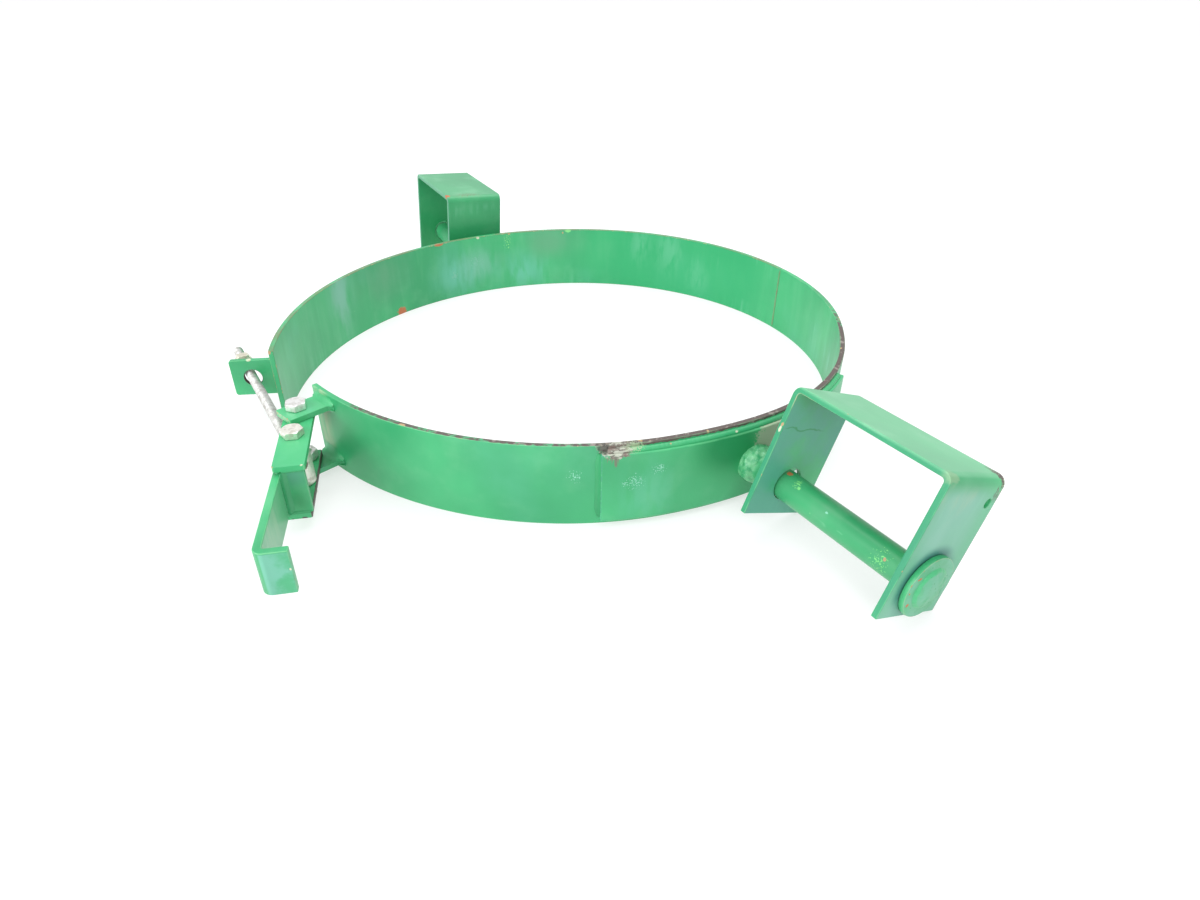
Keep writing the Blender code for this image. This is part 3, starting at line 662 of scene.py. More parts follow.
def hexagon(name, low, high, chamfer_low, chamfer_high):
    """A hexagon head or nut, its corners turned down by a cone at the open ends."""
    deselect()
    corner = FLATS / math.sqrt(3)
    bpy.ops.mesh.primitive_cylinder_add(
        vertices=6, radius=corner, depth=high - low, location=(0, 0, (low + high) / 2),
    )
    piece = bpy.context.object
    piece.name = name
    settle(piece)
    face, wide, drop = FLATS * 0.485, corner + 0.003, 0.0020
    rings = [(face, low), (wide, low + drop)] if chamfer_low else [(wide, low - 0.001)]
    rings += [(wide, high - drop), (face, high)] if chamfer_high else [(wide, high + 0.001)]
    combine(piece, turned(name + "_cone", rings, 72), "INTERSECT")
    soften(piece, 0.00025, 2, 25.0)
    return piece


def thread(name, radius, low, high, steps=20):
    """A metric thread: one V-shaped turn of the ridge swept round and along."""
    deselect()
    root, turns = radius * 0.86, math.floor((high - low) / PITCH) - 1
    half = PITCH * 0.42
    bpy.ops.mesh.primitive_plane_add(size=1.0)
    ridge = start_piece(name)
    foot, crest = root * 0.96, PITCH * 0.07
    section = [(foot, -half), (radius, -crest), (radius, crest), (foot, half)]

    def lay(vertex):
        across, along = section[vertex.index]
        return Vector((across, 0.0, low + half + along))

    move_points(ridge, lay)
    pick(ridge, "FACE", lambda face: True)
    bpy.ops.mesh.delete(type="ONLY_FACE")
    leave_edit()
    modify(
        ridge, "SCREW", screw_offset=PITCH * turns, angle=math.tau * turns, steps=steps * turns,
        render_steps=steps * turns, use_normal_calculate=True,
    )
    ridge = start_piece(name)
    bpy.ops.mesh.select_all(action="DESELECT")
    bpy.ops.mesh.select_mode(type="EDGE")
    bpy.ops.mesh.select_non_manifold(extend=False, use_boundary=True, use_wire=False, use_multi_face=False)
    bpy.ops.mesh.edge_face_add()
    face_outwards()
    even_shading(ridge, 50.0)
    return ridge


def join(first, *others):
    """Joins pieces into the first one."""
    activate(first)
    for other in others:
        other.select_set(True)
    bpy.ops.object.join()
    return first


def weld_bead(name, points, size, ripple=0.0024, relief=1.0):
    """A run of weld metal along the points, with the ripples that the electrode leaves."""
    path = []
    for start, end in zip(points, points[1:]):
        start, end = Vector(start), Vector(end)
        pieces = max(1, round((end - start).length / BEAD_STEP))
        path += [start.lerp(end, step / pieces) for step in range(pieces)]
    path.append(Vector(points[-1]))
    curve = bpy.data.curves.new(name, "CURVE")
    curve.dimensions = "3D"
    curve.bevel_depth = size
    curve.bevel_resolution = 3
    curve.use_fill_caps = True
    spline = curve.splines.new("POLY")
    spline.points.add(len(path) - 1)
    travel = 0.0
    for index, (point, place) in enumerate(zip(spline.points, path)):
        if index:
            travel += (place - path[index - 1]).length
        taper = min(1.0, 0.45 + 0.35 * min(index, len(path) - 1 - index))
        wave = 0.10 * relief * abs(math.sin(math.pi * travel / ripple))
        wander = noise.noise(place * 150.0) * 0.16 * relief
        point.co = (*place, 1.0)
        point.radius = taper * (0.94 + wave + wander)
    bead = add_object(name, curve)
    activate(bead)
    bpy.ops.object.convert(target="MESH")
    bead = bpy.context.object
    lumps(bead, size * 0.16 * relief, 420.0)
    even_shading(bead, 70.0)
    return bead


def fillet(name, path, out, up, size, ends=0.4, rise=None, hollow=1.0):
    """A weld between a plate and a wall, its hollow or flat section drawn out along the path."""
    deselect()
    bpy.ops.mesh.primitive_circle_add(vertices=12, radius=1.0, fill_type="NGON")
    weld = start_piece(name)
    path = [Vector(place) for place in path]
    out, up = Vector(out).normalized(), Vector(up).normalized()
    rise = rise or size
    section = [(-WELD_SINK, -WELD_SINK), (size, -WELD_SINK)]
    for step in range(9):
        turn, share = math.radians(-90.0 - 90.0 * step / 8), step / 8
        along = (1 + math.cos(turn)) * hollow + (1 - share) * (1 - hollow)
        over = (1 + math.sin(turn)) * hollow + share * (1 - hollow)
        section.append((size * along, rise * over))
    section.append((-WELD_SINK, rise))

    def lay(vertex):
        along, over = section[vertex.index]
        return path[0] + (out * along + up * over) * ends

    move_points(weld, lay)
    bpy.ops.mesh.select_all(action="SELECT")
    last = len(path) - 1
    shares = [ends] + [min(1.0, ends + 0.3 * min(index, last - index)) for index in range(1, last + 1)]
    for index in range(1, last + 1):
        extrude(path[index] - path[index - 1])
        factor = shares[index] / shares[index - 1]
        bpy.ops.transform.resize(value=(factor, factor, factor), center_override=path[index])
    face_outwards()
    settle(weld)
    even_shading(weld, 50.0)
    return weld


def steps_between(start, end, count):
    start, end = Vector(start), Vector(end)
    return [start.lerp(end, step / count) for step in range(count + 1)]


def store_depth(strip):
    """Keeps each vertex's depth outwards from the band's inner face for the paint."""
    depths = strip.data.attributes.new("depth", "FLOAT", "POINT")
    for vertex, item in zip(strip.data.vertices, depths.data):
        offset = vertex.co - BAND_CENTRE
        item.value = offset.xy.length - band_radius(math.degrees(math.atan2(offset.x, offset.y)))


def band_enamel(name, seed):
    """The band's coat: soft runs and teal bloom inside, smooth outside."""
    coat = Enamel(name, seed=seed, dull=0.22)
    coat.inside = coat.fade(coat.attribute("depth"), 0.0010, 0.0018)
    coat.oxide(0.35, 11.0, where=coat.inside)
    coat.drips(0.22, coat.inside)
    brush = coat.noise(85.0, 5.0, (1.0, 1.0, 0.16), (3.0, 3.0, 3.0))
    coat.layer(coat.step(brush, 0.50, 0.72) * coat.inside * 0.16, CHALKY_GREEN, 0.45)
    coat.layer(coat.step(brush, 0.50, 0.28) * coat.inside * 0.30, DEEP_GREEN, 0.40)
    coat.oxide(0.30, 7.0, 0.52, 1.0 - coat.inside)
    return coat


def scuff(coat):
    """The scraped corner at the pad's foot end: cracked bright metal over scorched streaks."""
    streak = coat.noise(520.0, 3.0, (1.0, 1.0, 0.08), (4.0, 4.0, 0.0))
    lower = coat.near((0.2610, -0.0690, 0.0715), 0.0150, (0.9, 1.25, 1.0))
    streaked = coat.step(lower * 0.42 + streak, 0.66, 0.76)
    coat.layer(streaked * coat.step(lower, 0.05, 0.25) * 0.75, SCORCH, 0.6)
    patch = coat.spot((0.2625, -0.0660, 0.0775), 0.0100, (0.55, 0.72, 1.25), 0.55)
    wrinkle = coat.noise(280.0, 5.0, (0.7, 0.5, 1.9), (9.0, 5.0, 3.0))
    tone = coat.mix(coat.step(wrinkle, 0.36, 0.64), (*SCORCH, 1.0), (*SCUFFED_STEEL, 1.0))
    coat.colour = coat.mix(patch, coat.colour, tone)
    crack = coat.fade(abs(wrinkle - 0.50), 0.006, 0.024)
    coat.layer(patch * crack * 0.85, CRACK, 0.7, depth=-0.25)
    rim = coat.near((0.2585, -0.0745, 0.0775), 0.0090, (0.8, 0.9, 1.4))
    coat.layer(coat.step(rim * 0.35 + wrinkle, 0.66, 0.74) * coat.step(rim, 0.05, 0.25) * 0.8, CRACK, 0.7)
    tail = coat.near((0.2675, -0.0515, 0.0772), 0.0130, (0.9, 0.9, 2.2))
    specks = coat.step(tail * 0.30 + coat.speckle, 0.64, 0.70)
    coat.layer(specks * coat.step(tail, 0.05, 0.25) * 0.8, RUBBED, 0.6)


def make_band():
    half_gap = math.degrees(GAP / 2 / BAND_RADIUS)
    section = (0.0, 0.0, BAND_HEIGHT, BAND_THICKNESS, BAND_CORNER)
    left = rolled_strip("band_strip_left", BAND_ENDS["left"], SEAM_ANGLE - half_gap, *section)
    store_depth(left)
    coat = band_enamel("band_left_enamel", 1.3)
    coat.bloom((-0.2125, -0.1570, 0.0640), 0.0420, (1.0, 1.3, 0.50), PALE_TEAL, 1.0, coat.inside, 60.0)
    away = 1.0 - coat.step(coat.x, -0.040, 0.010) * 0.5
    coat.layer(coat.inside * (0.14 + coat.step(coat.y, 0.160, 0.270) * 0.66) * away, WET_GREEN, 0.36)
    coat.drips(0.40, coat.inside * coat.step(coat.x, -0.200, -0.110))
    for centre, radius, height_stretch, colour, strength, grain in (
        ((-0.2830, 0.0260, 0.0330), 0.0620, 1.2, TEAL, 1.0, 62.0),
        ((-0.2845, 0.0560, 0.0400), 0.0500, 1.2, PALE_TEAL, 0.5, 85.0),
        ((-0.2740, 0.1200, 0.0240), 0.0600, 1.4, TEAL, 0.8, 80.0),
        ((-0.1906, 0.2663, 0.0640), 0.0260, 0.6, PALE_DRIP_AND_GLINT, 0.22, 150.0),
        ((-0.1560, 0.2925, 0.0600), 0.0320, 0.6, PALE_DRIP_AND_GLINT, 0.22, 150.0),
        ((-0.1150, 0.3140, 0.0300), 0.0300, 0.8, PALE_DRIP_AND_GLINT, 0.16, 150.0),
        ((-0.2640, 0.1560, 0.0640), 0.0700, 1.6, GREY_GREEN, 0.9, 20.0),
        ((-0.2520, -0.0950, 0.0620), 0.0700, 1.3, GREY_GREEN, 0.9, 20.0),
    ):
        coat.bloom(centre, radius, (1.0, 1.0, height_stretch), colour, strength, coat.inside, grain)
    coat.chips([
        ((-0.2814, -0.0020, 0.0790), 0.0034, RUST, (1.0, 0.5, 2.0)),
        ((-0.2846, 0.0569, 0.0790), 0.0018, CREAM, (1.0, 0.8, 0.8)),
        ((-0.2795, 0.1022, 0.0790), 0.0013, PRIMER_TAN, (1.0, 0.8, 1.0)),
        ((-0.2526, 0.1829, 0.0785), 0.0030, YELLOW_GREEN, (1.0, 0.5, 1.4)),
        ((-0.2560, 0.1760, 0.0760), 0.0012, PRIMER_TAN, (1.0, 1.0, 0.8)),
        ((-0.2798, 0.1004, 0.0690), 0.0080, YELLOW_GREEN, (1.0, 1.4, 0.6), 0.45),
        ((-0.2838, 0.0182, 0.0323), 0.0060, PALE_TEAL, EVEN, 0.6),
        ((-0.2849, 0.0520, 0.0460), 0.0100, PALE_TEAL, EVEN, 0.4),
        ((-0.2637, -0.0696, 0.0035), 0.0060, RUST, (1.0, 0.8, 1.0)),
        ((-0.0551, -0.2709, 0.0785), 0.0018, PRIMER_TAN),
    ])
    brown = coat.noise(24.0, 4.0, shift=(5.0, 5.0, 5.0))
    coat.layer(coat.step(coat.z, 0.0793, 0.0798) * coat.step(brown, 0.38, 0.58) * 0.55, RIM_BROWN, 0.55)
    coat.edge_highlight_and_wear(0.75, 0.60, RIM_BROWN)
    painted(left, "clamp_band", coat, ["band_half_left"])

    right = rolled_strip("band_strip_right", SEAM_ANGLE + half_gap, BAND_ENDS["right"], *section)
    store_depth(right)
    coat = band_enamel("band_right_enamel", 4.1)
    coat.layer(coat.inside * coat.fade(coat.x, 0.030, 0.170) * 0.40, WET_GREEN, 0.36)
    coat.drips(0.40, coat.inside)
    coat.chips([
        ((0.2480, -0.0961, 0.0498), 0.0056, PALE_DRIP_AND_GLINT, (0.9, 0.9, 1.0), 0.62),
        ((0.2325, 0.2243, 0.0700), 0.0100, GREY_CREAM, (0.7, 0.7, 0.9), 0.9),
        ((0.2114, 0.2500, 0.0790), 0.0020, RUST),
        ((0.0640, 0.3210, 0.0360), 0.0012, CREAM),
    ])
    rub = coat.noise(120.0, 4.0, (1.0, 1.0, 0.12), (1.0, 6.0, 2.0))
    behind_ears = coat.step(coat.x, 0.036, 0.042) * coat.fade(coat.x, 0.050, 0.064)
    behind_ears = behind_ears * coat.fade(coat.y, -0.220, -0.200)
    outside = coat.step(coat.attribute("depth"), 0.0030, 0.0040)
    between = coat.step(coat.z, 0.018, 0.026)
    coat.layer(behind_ears * outside * between * coat.step(rub, 0.30, 0.62) * 0.75, RUBBED, 0.55)
    bite = coat.noise(190.0, 5.0, (1.0, 1.0, 0.35))
    round_back = coat.fade(coat.y, 0.285, 0.310)
    heavy = coat.step(coat.x, 0.180, 0.215) * coat.step(coat.y, -0.085, -0.060) * round_back
    rim = 0.0799 - heavy * 0.0019
    beyond_latch = coat.step(coat.x, 0.084, 0.096)
    swing = 0.0008 + heavy * 0.0034
    bare = coat.step(coat.z + (bite - 0.42) * swing - rim, 0.0, 0.0002) * beyond_latch
    bare = bare * (0.25 + round_back * 0.75)
    coat.layer(bare, BARE_STEEL, 0.6, metal=0.1, depth=-0.10)
    scratch = coat.noise(330.0, 4.0, (0.5, 0.5, 2.0), (2.0, 7.0, 5.0))
    coat.layer(bare * coat.step(scratch, 0.56, 0.66) * 0.6, BRIGHT_SCRATCH, 0.5, metal=0.3)
    dots = coat.step(coat.noise(95.0, 5.0, shift=(6.0, 1.0, 4.0)), 0.64, 0.68)
    coat.layer(bare * dots, PRIMER_TAN, 0.6)
    coat.edge_highlight_and_wear(0.45, 0.66)
    scuff(coat)
    painted(right, "clamp_band", coat, ["band_half_right"])

    coat = Enamel("seam_enamel", seed=2.0, dull=0.5)
    coat.layer(0.45 + coat.step(coat.noise(140.0, 4.0), 0.40, 0.65) * 0.35, RIM_BROWN, 0.6)
    seam_enamel = coat.done()
    for name, depth, size in (("seam_bead_inner", 0.0003, 0.0013), ("seam_bead_outer", 0.0044, 0.0024)):
        ends = [band_point(SEAM_ANGLE, depth, height) for height in (0.003, 0.0775)]
        finish_piece(weld_bead(name, ends, size), "clamp_band", seam_enamel)


def make_trunnion(side, frame_at, angle):
    depth = BAND_THICKNESS + GAP
    ends = (angle - PAD_HALF_ANGLE, angle + PAD_HALF_ANGLE)
    pad = rolled_strip("doubler_" + side, *ends, depth, PAD_LOW, PAD_HIGH, PAD_THICKNESS, 0.0014)
    coat = Enamel("doubler_enamel_" + side, seed=6.0, dull=0.22)
    coat.oxide(0.35, 8.0)
    if side == "right":
        # Dark and deep green clouds beside the collar: painted shade, the bracket's soft shadow on the pad.
        coat.bloom((0.3060, 0.0340, 0.0640), 0.0620, (0.6, 0.9, 1.25), DARK_GREEN, 1.3, 1.0, 7.0)
        coat.bloom((0.3080, 0.0560, 0.0180), 0.0420, (1.0, 1.0, 1.0), DEEP_GREEN, 1.0, 1.0, 9.0)
        coat.bloom((0.2770, -0.0420, 0.0300), 0.0450, (1.0, 1.0, 0.8), TEAL, 0.35, 1.0, 90.0)
        coat.chips([
            ((0.2955, 0.0800, 0.0620), 0.0160, GREY_CREAM, (0.5, 0.75, 0.75)),
            ((0.2744, -0.0532, 0.0454), 0.0070, PALE_DRIP_AND_GLINT, (0.9, 0.9, 0.9), 0.62),
            ((0.2700, -0.0600, 0.0440), 0.0040, PALE_DRIP_AND_GLINT, (0.8, 0.8, 1.0), 0.6),
            ((0.2800, -0.0330, 0.0560), 0.0050, PALE_DRIP_AND_GLINT, (0.8, 0.8, 1.0), 0.6),
        ])
        scuff(coat)
    coat.edge_highlight_and_wear(0.15, 0.72)
    foot_end = coat.ridge() * coat.fade(coat.y, -0.0758, -0.0748)
    coat.layer(foot_end * coat.step(coat.tear, 0.36, 0.52) * 0.5, GRIME_AND_SHADOW, 0.55)
    painted(pad, "clamp_band", coat, ["trunnion_pad_" + side])

    coat = Enamel("pad_weld_enamel_" + side, seed=3.0, dull=0.15)
    if side == "right":
        coat.chips([
            ((0.2795, -0.0225, 0.0765), 0.0009, PRIMER_TAN),
            ((0.2930, 0.0390, 0.0770), 0.0022, CREAM, (1.0, 0.7, 1.0)),
        ])
        scuff(coat)
    weld_enamel = coat.done()
    # The end welds' coat is darker all over: painted shade against the light that their slopes catch.
    coat = Enamel("pad_end_enamel_" + side, seed=3.5, dull=0.1, shade=0.74)
    if side == "right":
        scuff(coat)
    end_enamel = coat.done()
    for index, end in enumerate(ends):
        foot, head = [band_point(end, BAND_THICKNESS, height) for height in (0.0078, 0.0722)]
        path = steps_between(foot, head, 16)
        up, away = band_normal(end), band_point(end + (1 if index else -1), 0.0) - band_point(end, 0.0)
        weld = fillet(f"doubler_weld_{side}_{index}", path, away, up, 0.0042, 0.55, 0.0056, 0.25)
        finish_piece(weld, "clamp_band", end_enamel)
    for name, height in (("upper", PAD_HIGH + 0.0002), ("lower", PAD_LOW - 0.0002)):
        steps = [ends[0] + 1.0 + (ends[1] - ends[0] - 2.0) * step / 56 for step in range(57)]
        line = [band_point(step, BAND_THICKNESS + 0.0008, height) for step in steps]
        bead = weld_bead(f"doubler_{name}_weld_{side}", line, 0.0034, ripple=0.0040, relief=0.35)
        finish_piece(bead, "clamp_band", weld_enamel)

    rings = [(COLLAR_RADIUS * 1.02, -0.0024), (COLLAR_RADIUS * 1.02, 0.0002), (COLLAR_RADIUS, 0.0014)]
    for step in range(1, 11):
        share = step / 10
        bulge = math.sin(math.pi * min(1.0, share * 0.92)) * 0.0012
        height = 0.0014 + share * (COLLAR_HEIGHT - 0.0014)
        rings.append((COLLAR_RADIUS + (SHAFT_RADIUS - COLLAR_RADIUS) * share ** 1.6 + bulge, height))
    heights = (COLLAR_HEIGHT + 0.001, 0.04, 0.08, 0.12, SHAFT_REACH - 0.002, SHAFT_REACH + 0.004)
    rings += [(SHAFT_RADIUS, height) for height in heights]
    shaft = turned("trunnion_bar_" + side, rings)
    lumps(shaft, 0.0016, 210.0, lambda point: point.z < COLLAR_HEIGHT + 0.0005)
    even_shading(shaft, 60.0)
    turn_mesh(shaft, 90, "Y")
    coat = Enamel("trunnion_enamel_" + side, frame_at, seed=9.0, dull=0.25, shade=0.86)
    near_collar = coat.fade(coat.x, 0.010, 0.018)
    lumpy = coat.noise(210.0, 5.0, shift=(1.0, 8.0, 3.0))
    # Mottling on the collar's weld: the deep green patches are painted shade in its crevices, and the pale
    # glossy specks are painted glints.
    coat.layer(coat.step(lumpy, 0.30, 0.62) * near_collar * 0.50, EDGE_GREEN, 0.28)
    coat.layer(coat.step(lumpy, 0.48, 0.36) * near_collar * 0.45, DEEP_GREEN, 0.35)
    coat.layer(coat.step(coat.speckle, 0.60, 0.68) * near_collar * 0.6, PALE_DRIP_AND_GLINT, 0.26)
    scratch = coat.noise(150.0, 4.0, (0.25, 1.0, 1.0), (5.0, 2.0, 1.0))
    coat.layer(coat.step(scratch, 0.62, 0.72) * 0.35, CHALKY_GREEN, 0.5)
    smudge = coat.noise(17.0, 4.0, shift=(2.0, 4.0, 8.0))
    coat.layer(coat.step(smudge, 0.50, 0.66) * (1.0 - near_collar) * 0.55, GREY_GREEN, 0.42)
    if side == "right":
        coat.chips([
            ((0.3395, 0.0594, 0.0533), 0.0026, RUST),
            ((0.3530, 0.0560, 0.0522), 0.0045, YELLOW_GREEN, (1.3, 1.0, 0.6), 0.9),
            ((0.3570, 0.0535, 0.0510), 0.0014, YELLOW_GREEN, (1.0, 1.0, 0.7)),
            ((0.3906, 0.0514, 0.0491), 0.0011, PALE_DRIP_AND_GLINT, (0.7, 1.0, 1.0)),
            ((0.4479, 0.0480, 0.0440), 0.0085, YELLOW_GREEN, (1.1, 1.0, 0.75), 0.50),
            ((0.4510, 0.0492, 0.0470), 0.0013, PRIMER_TAN, (1.0, 1.0, 0.7)),
            ((0.3045, 0.0498, 0.0473), 0.0011, CRACK),
        ])
    painted(shaft, "clamp_band", coat, ["trunnion_shaft_" + side], frame_at)

    far = SHAFT_REACH + WASHER_THICKNESS
    rings = [(WASHER_RADIUS - 0.0012, SHAFT_REACH), (WASHER_RADIUS - 0.0003, SHAFT_REACH + 0.0004)]
    rings += [(WASHER_RADIUS, SHAFT_REACH + 0.0014), (WASHER_RADIUS, far - 0.0014)]
    rings += [(WASHER_RADIUS - 0.0004, far - 0.0004), (WASHER_RADIUS - 0.0014, far)]
    rings += [(radius, far + rise) for radius, rise in PLUG_WELD]
    washer = turned("retaining_washer_" + side, rings, 72)
    lumps(washer, 0.0006, 260.0, lambda point: point.z > far + 0.0002)
    even_shading(washer, 38.0)
    turn_mesh(washer, 90, "Y")
    coat = Enamel("washer_enamel_" + side, frame_at, seed=12.0, dull=0.3)
    face = coat.step(coat.x, far - 0.0009, far - 0.0003)
    coat.layer(face * (0.15 + coat.step(coat.noise(70.0, 4.0), 0.35, 0.65) * 0.40), PALE_TEAL, 0.45)
    ring = coat.around(0.0176, -0.0004, 0.0006) * (1.0 - coat.around(0.0150, -0.0008, 0.0006))
    coat.layer(ring * 0.8, FRESH_GREEN, 0.35)
    lip = (1.0 - coat.around(WASHER_RADIUS - 0.0010, 0.0, 0.0004)) * face
    coat.layer(lip * 0.40, RUBBED, 0.45)
    coat.layer(lip * coat.step(coat.noise(260.0, 4.0, shift=(2.0, 2.0, 5.0)), 0.60, 0.65), RUST, 0.6)
    coat.layer(face * coat.step(coat.noise(420.0, 4.0, shift=(5.0, 1.0, 7.0)), 0.66, 0.70), DEEP_GREEN, 0.5)
    coat.chips([
        ((0.4840, 0.0390, 0.0333), 0.0017, RUST),
        ((0.4840, 0.0448, 0.0553), 0.0012, RUST, (1.0, 0.6, 1.0)),
        ((0.4840, 0.0376, 0.0450), 0.0008, RUST),
    ])
    painted(washer, "clamp_band", coat, ["end_washer_" + side], frame_at)


def make_bracket(side, frame_at, body):
    near, far = BRACKET_LEGS[side]
    half = BAR_THICKNESS / 2
    top = BRACKET_RISE - half
    inner, outer = near + half, far - half
    corners = [(inner, -BRACKET_DROP), (inner, top), (outer, top), (outer, -BRACKET_DROP)]
    bracket = folded_bar("fork_bracket_bar_" + side, corners, BRACKET_WIDTH, BAR_THICKNESS, BRACKET_FOLD)
    hole_radius, hole_height = BRACKET_HOLE
    bore(bracket, (0.0, 0.0, hole_height), hole_radius, 1.0, (0.0, 90.0, 0.0), 64)
    tie_radius, tie_across, tie_height = TIE_HOLE
    tie_side = 1 if side == "right" else -1
    bore(bracket, (far, tie_side * tie_across, tie_height), tie_radius, 0.03, (0.0, 90.0, 0.0), 32)
    soften(bracket, 0.0007)
    # The left bracket's coat is darker all over: painted shade, as it stands further from the light.
    shade = 1.0 if side == "right" else 0.74
    coat = Enamel("bracket_enamel_" + side, frame_at, 0.3, 15.0 if side == "right" else 17.0, shade)
    top_face = coat.step(coat.z, BRACKET_RISE - 0.0026, BRACKET_RISE - 0.0008)
    patchy = coat.step(coat.noise(16.0, 5.0), 0.40, 0.65)
    outer_face = coat.step(coat.x, far - 0.0016, far - 0.0006)
    legs = coat.fade(coat.z, 0.070, 0.084)
    inner_leg = coat.fade(coat.x, near + 0.006, near + 0.010)
    edges = coat.step(abs(coat.y), BRACKET_WIDTH / 2 - 0.0012, BRACKET_WIDTH / 2 - 0.0004)
    faces = legs * (1.0 - edges)
    # The bracket's side edges are darkened in patches with painted shade.
    coat.layer(edges * (0.70 + patchy * 0.25), EDGE_SHADE_GREEN, 0.38)
    if side == "right":
        coat.layer(top_face * (0.40 + patchy * 0.55), PALE_GREEN, 0.42)
        wiped = coat.noise(26.0, 5.0, (1.0, 1.0, 0.45), (4.0, 6.0, 2.0))
        centre = coat.fade(abs(coat.y + 0.003), 0.018, 0.036)
        faded = 0.40 + centre * 0.30 + coat.step(wiped, 0.35, 0.65) * 0.25
        coat.layer(outer_face * faces * faded, PALE_TEAL, 0.45)
        dusted = outer_face * faces * coat.step(wiped, 0.54, 0.68) * coat.step(coat.z, 0.040, 0.066)
        coat.layer(dusted * 0.45, RUBBED, 0.5)
        # A teal bloom on the inner leg, in a darker teal that also paints the shade on that face.
        coat.oxide(0.85, 18.0, 0.34, inner_leg * faces, SHADED_LEG_TEAL)
        wave = (coat.noise(55.0, 3.0, shift=(1.0, 3.0, 9.0)) - 0.5) * 0.010
        tide = coat.fade(abs(coat.z - 0.0522 + wave), 0.0002, 0.0010)
        length = coat.step(coat.y, -0.036, -0.030) * coat.fade(coat.y, 0.004, 0.018)
        coat.layer(tide * length * inner_leg * 0.8, DARK_GREEN, 0.4)
        # A painted shadow round the washer on the outer leg, heavier on one side.
        washer_shadow = coat.around(WASHER_RADIUS, 0.0006, 0.0095)
        shadow_side = coat.step(coat.z - coat.y, 0.004, 0.020)
        coat.layer(washer_shadow * outer_face * (0.35 + shadow_side * 0.45), GRIME_AND_SHADOW, 0.5)
    else:
        coat.layer(top_face * (0.20 + patchy * 0.55), PALE_GREEN, 0.42)
        coat.drips(0.45, inner_leg * faces)
        coat.layer(faces * coat.fade(coat.z, 0.000, 0.068) * 0.95, DARK_GREEN, 0.33)
        stain = coat.near((-0.3200, 0.0600, 0.1290), 0.0220, (1.5, 0.8, 1.0))
        coat.layer(stain * coat.step(coat.tear, 0.40, 0.60) * top_face * 0.6, RIM_BROWN, 0.5)
    coat.drips(0.25, faces)
    coat.edge_highlight_and_wear(0.40, 0.66)
    outer_bend = coat.step(coat.x, far - 0.011, far - 0.004) * coat.step(coat.z, 0.074, 0.082)
    front = coat.fade(coat.y, -0.034, -0.012)
    smear = coat.step(coat.noise(60.0, 5.0, (1.0, 0.5, 1.0), (3.0, 3.0, 9.0)) + front * 0.16, 0.60, 0.70)
    coat.layer(smear * outer_bend * 0.45, RUBBED, 0.55)
    if side == "right":
        back = coat.step(coat.y, BRACKET_WIDTH / 2 - 0.0120, BRACKET_WIDTH / 2 - 0.0010)
        scrape = coat.noise(260.0, 4.0, (0.5, 2.0, 0.5), (8.0, 3.0, 1.0))
        worn_bend = coat.step(coat.x, far - 0.022, far - 0.006) * coat.step(coat.z, 0.066, 0.080)
        scraped = coat.step(scrape + back * 0.24, 0.60, 0.68) * worn_bend * coat.step(back, 0.0, 0.2)
        coat.layer(scraped, BARE_STEEL, 0.55)
        coat.layer(coat.step(coat.speckle + back * 0.10, 0.66, 0.70) * worn_bend * back, RUBBED, 0.55)
        near_bend = coat.fade(coat.x, near + 0.016, near + 0.026) * coat.step(coat.z, 0.066, 0.074)
        front_line = coat.ridge() * coat.fade(coat.y, -0.0376, -0.0368)
        aside, below = coat.x - (near + 0.0105), coat.z - (BRACKET_RISE - 0.0105)
        inner_line = coat.fade(aside * aside + below * below, 0.000052, 0.000062)
        inner_line = inner_line.most(coat.fade(coat.z, BRACKET_RISE - 0.0036, BRACKET_RISE - 0.0030))
        coat.layer(front_line * near_bend * inner_line * 0.8, RUBBED, 0.5)
        coat.chips([
            ((0.3358, 0.0444, 0.1046), 0.0013, PRIMER_TAN, (1.0, 1.0, 0.6)),
            ((0.3354, 0.0425, 0.1012), 0.0013, CREAM, (1.0, 1.0, 0.4)),
        ])
        outer_edge = coat.step(coat.x, far - 0.0036, far - 0.0010).most(coat.step(coat.z, 0.0840, 0.0866))
        back_line = coat.step(coat.y + (coat.tear - 0.5) * 0.0014, 0.0368, 0.0373)
        coat.layer(back_line * outer_edge * (0.50 + patchy * 0.35), RIM_BROWN, 0.55)
    else:
        coat.chips([
            ((-0.3225, 0.0318, 0.1296), 0.0034, RUST, (0.8, 0.8, 1.2)),
            ((-0.3110, 0.0316, 0.1200), 0.0018, PRIMER_TAN, (1.0, 1.0, 0.5)),
        ])
    painted(bracket, body, coat, ["fork_bracket_" + side], frame_at)


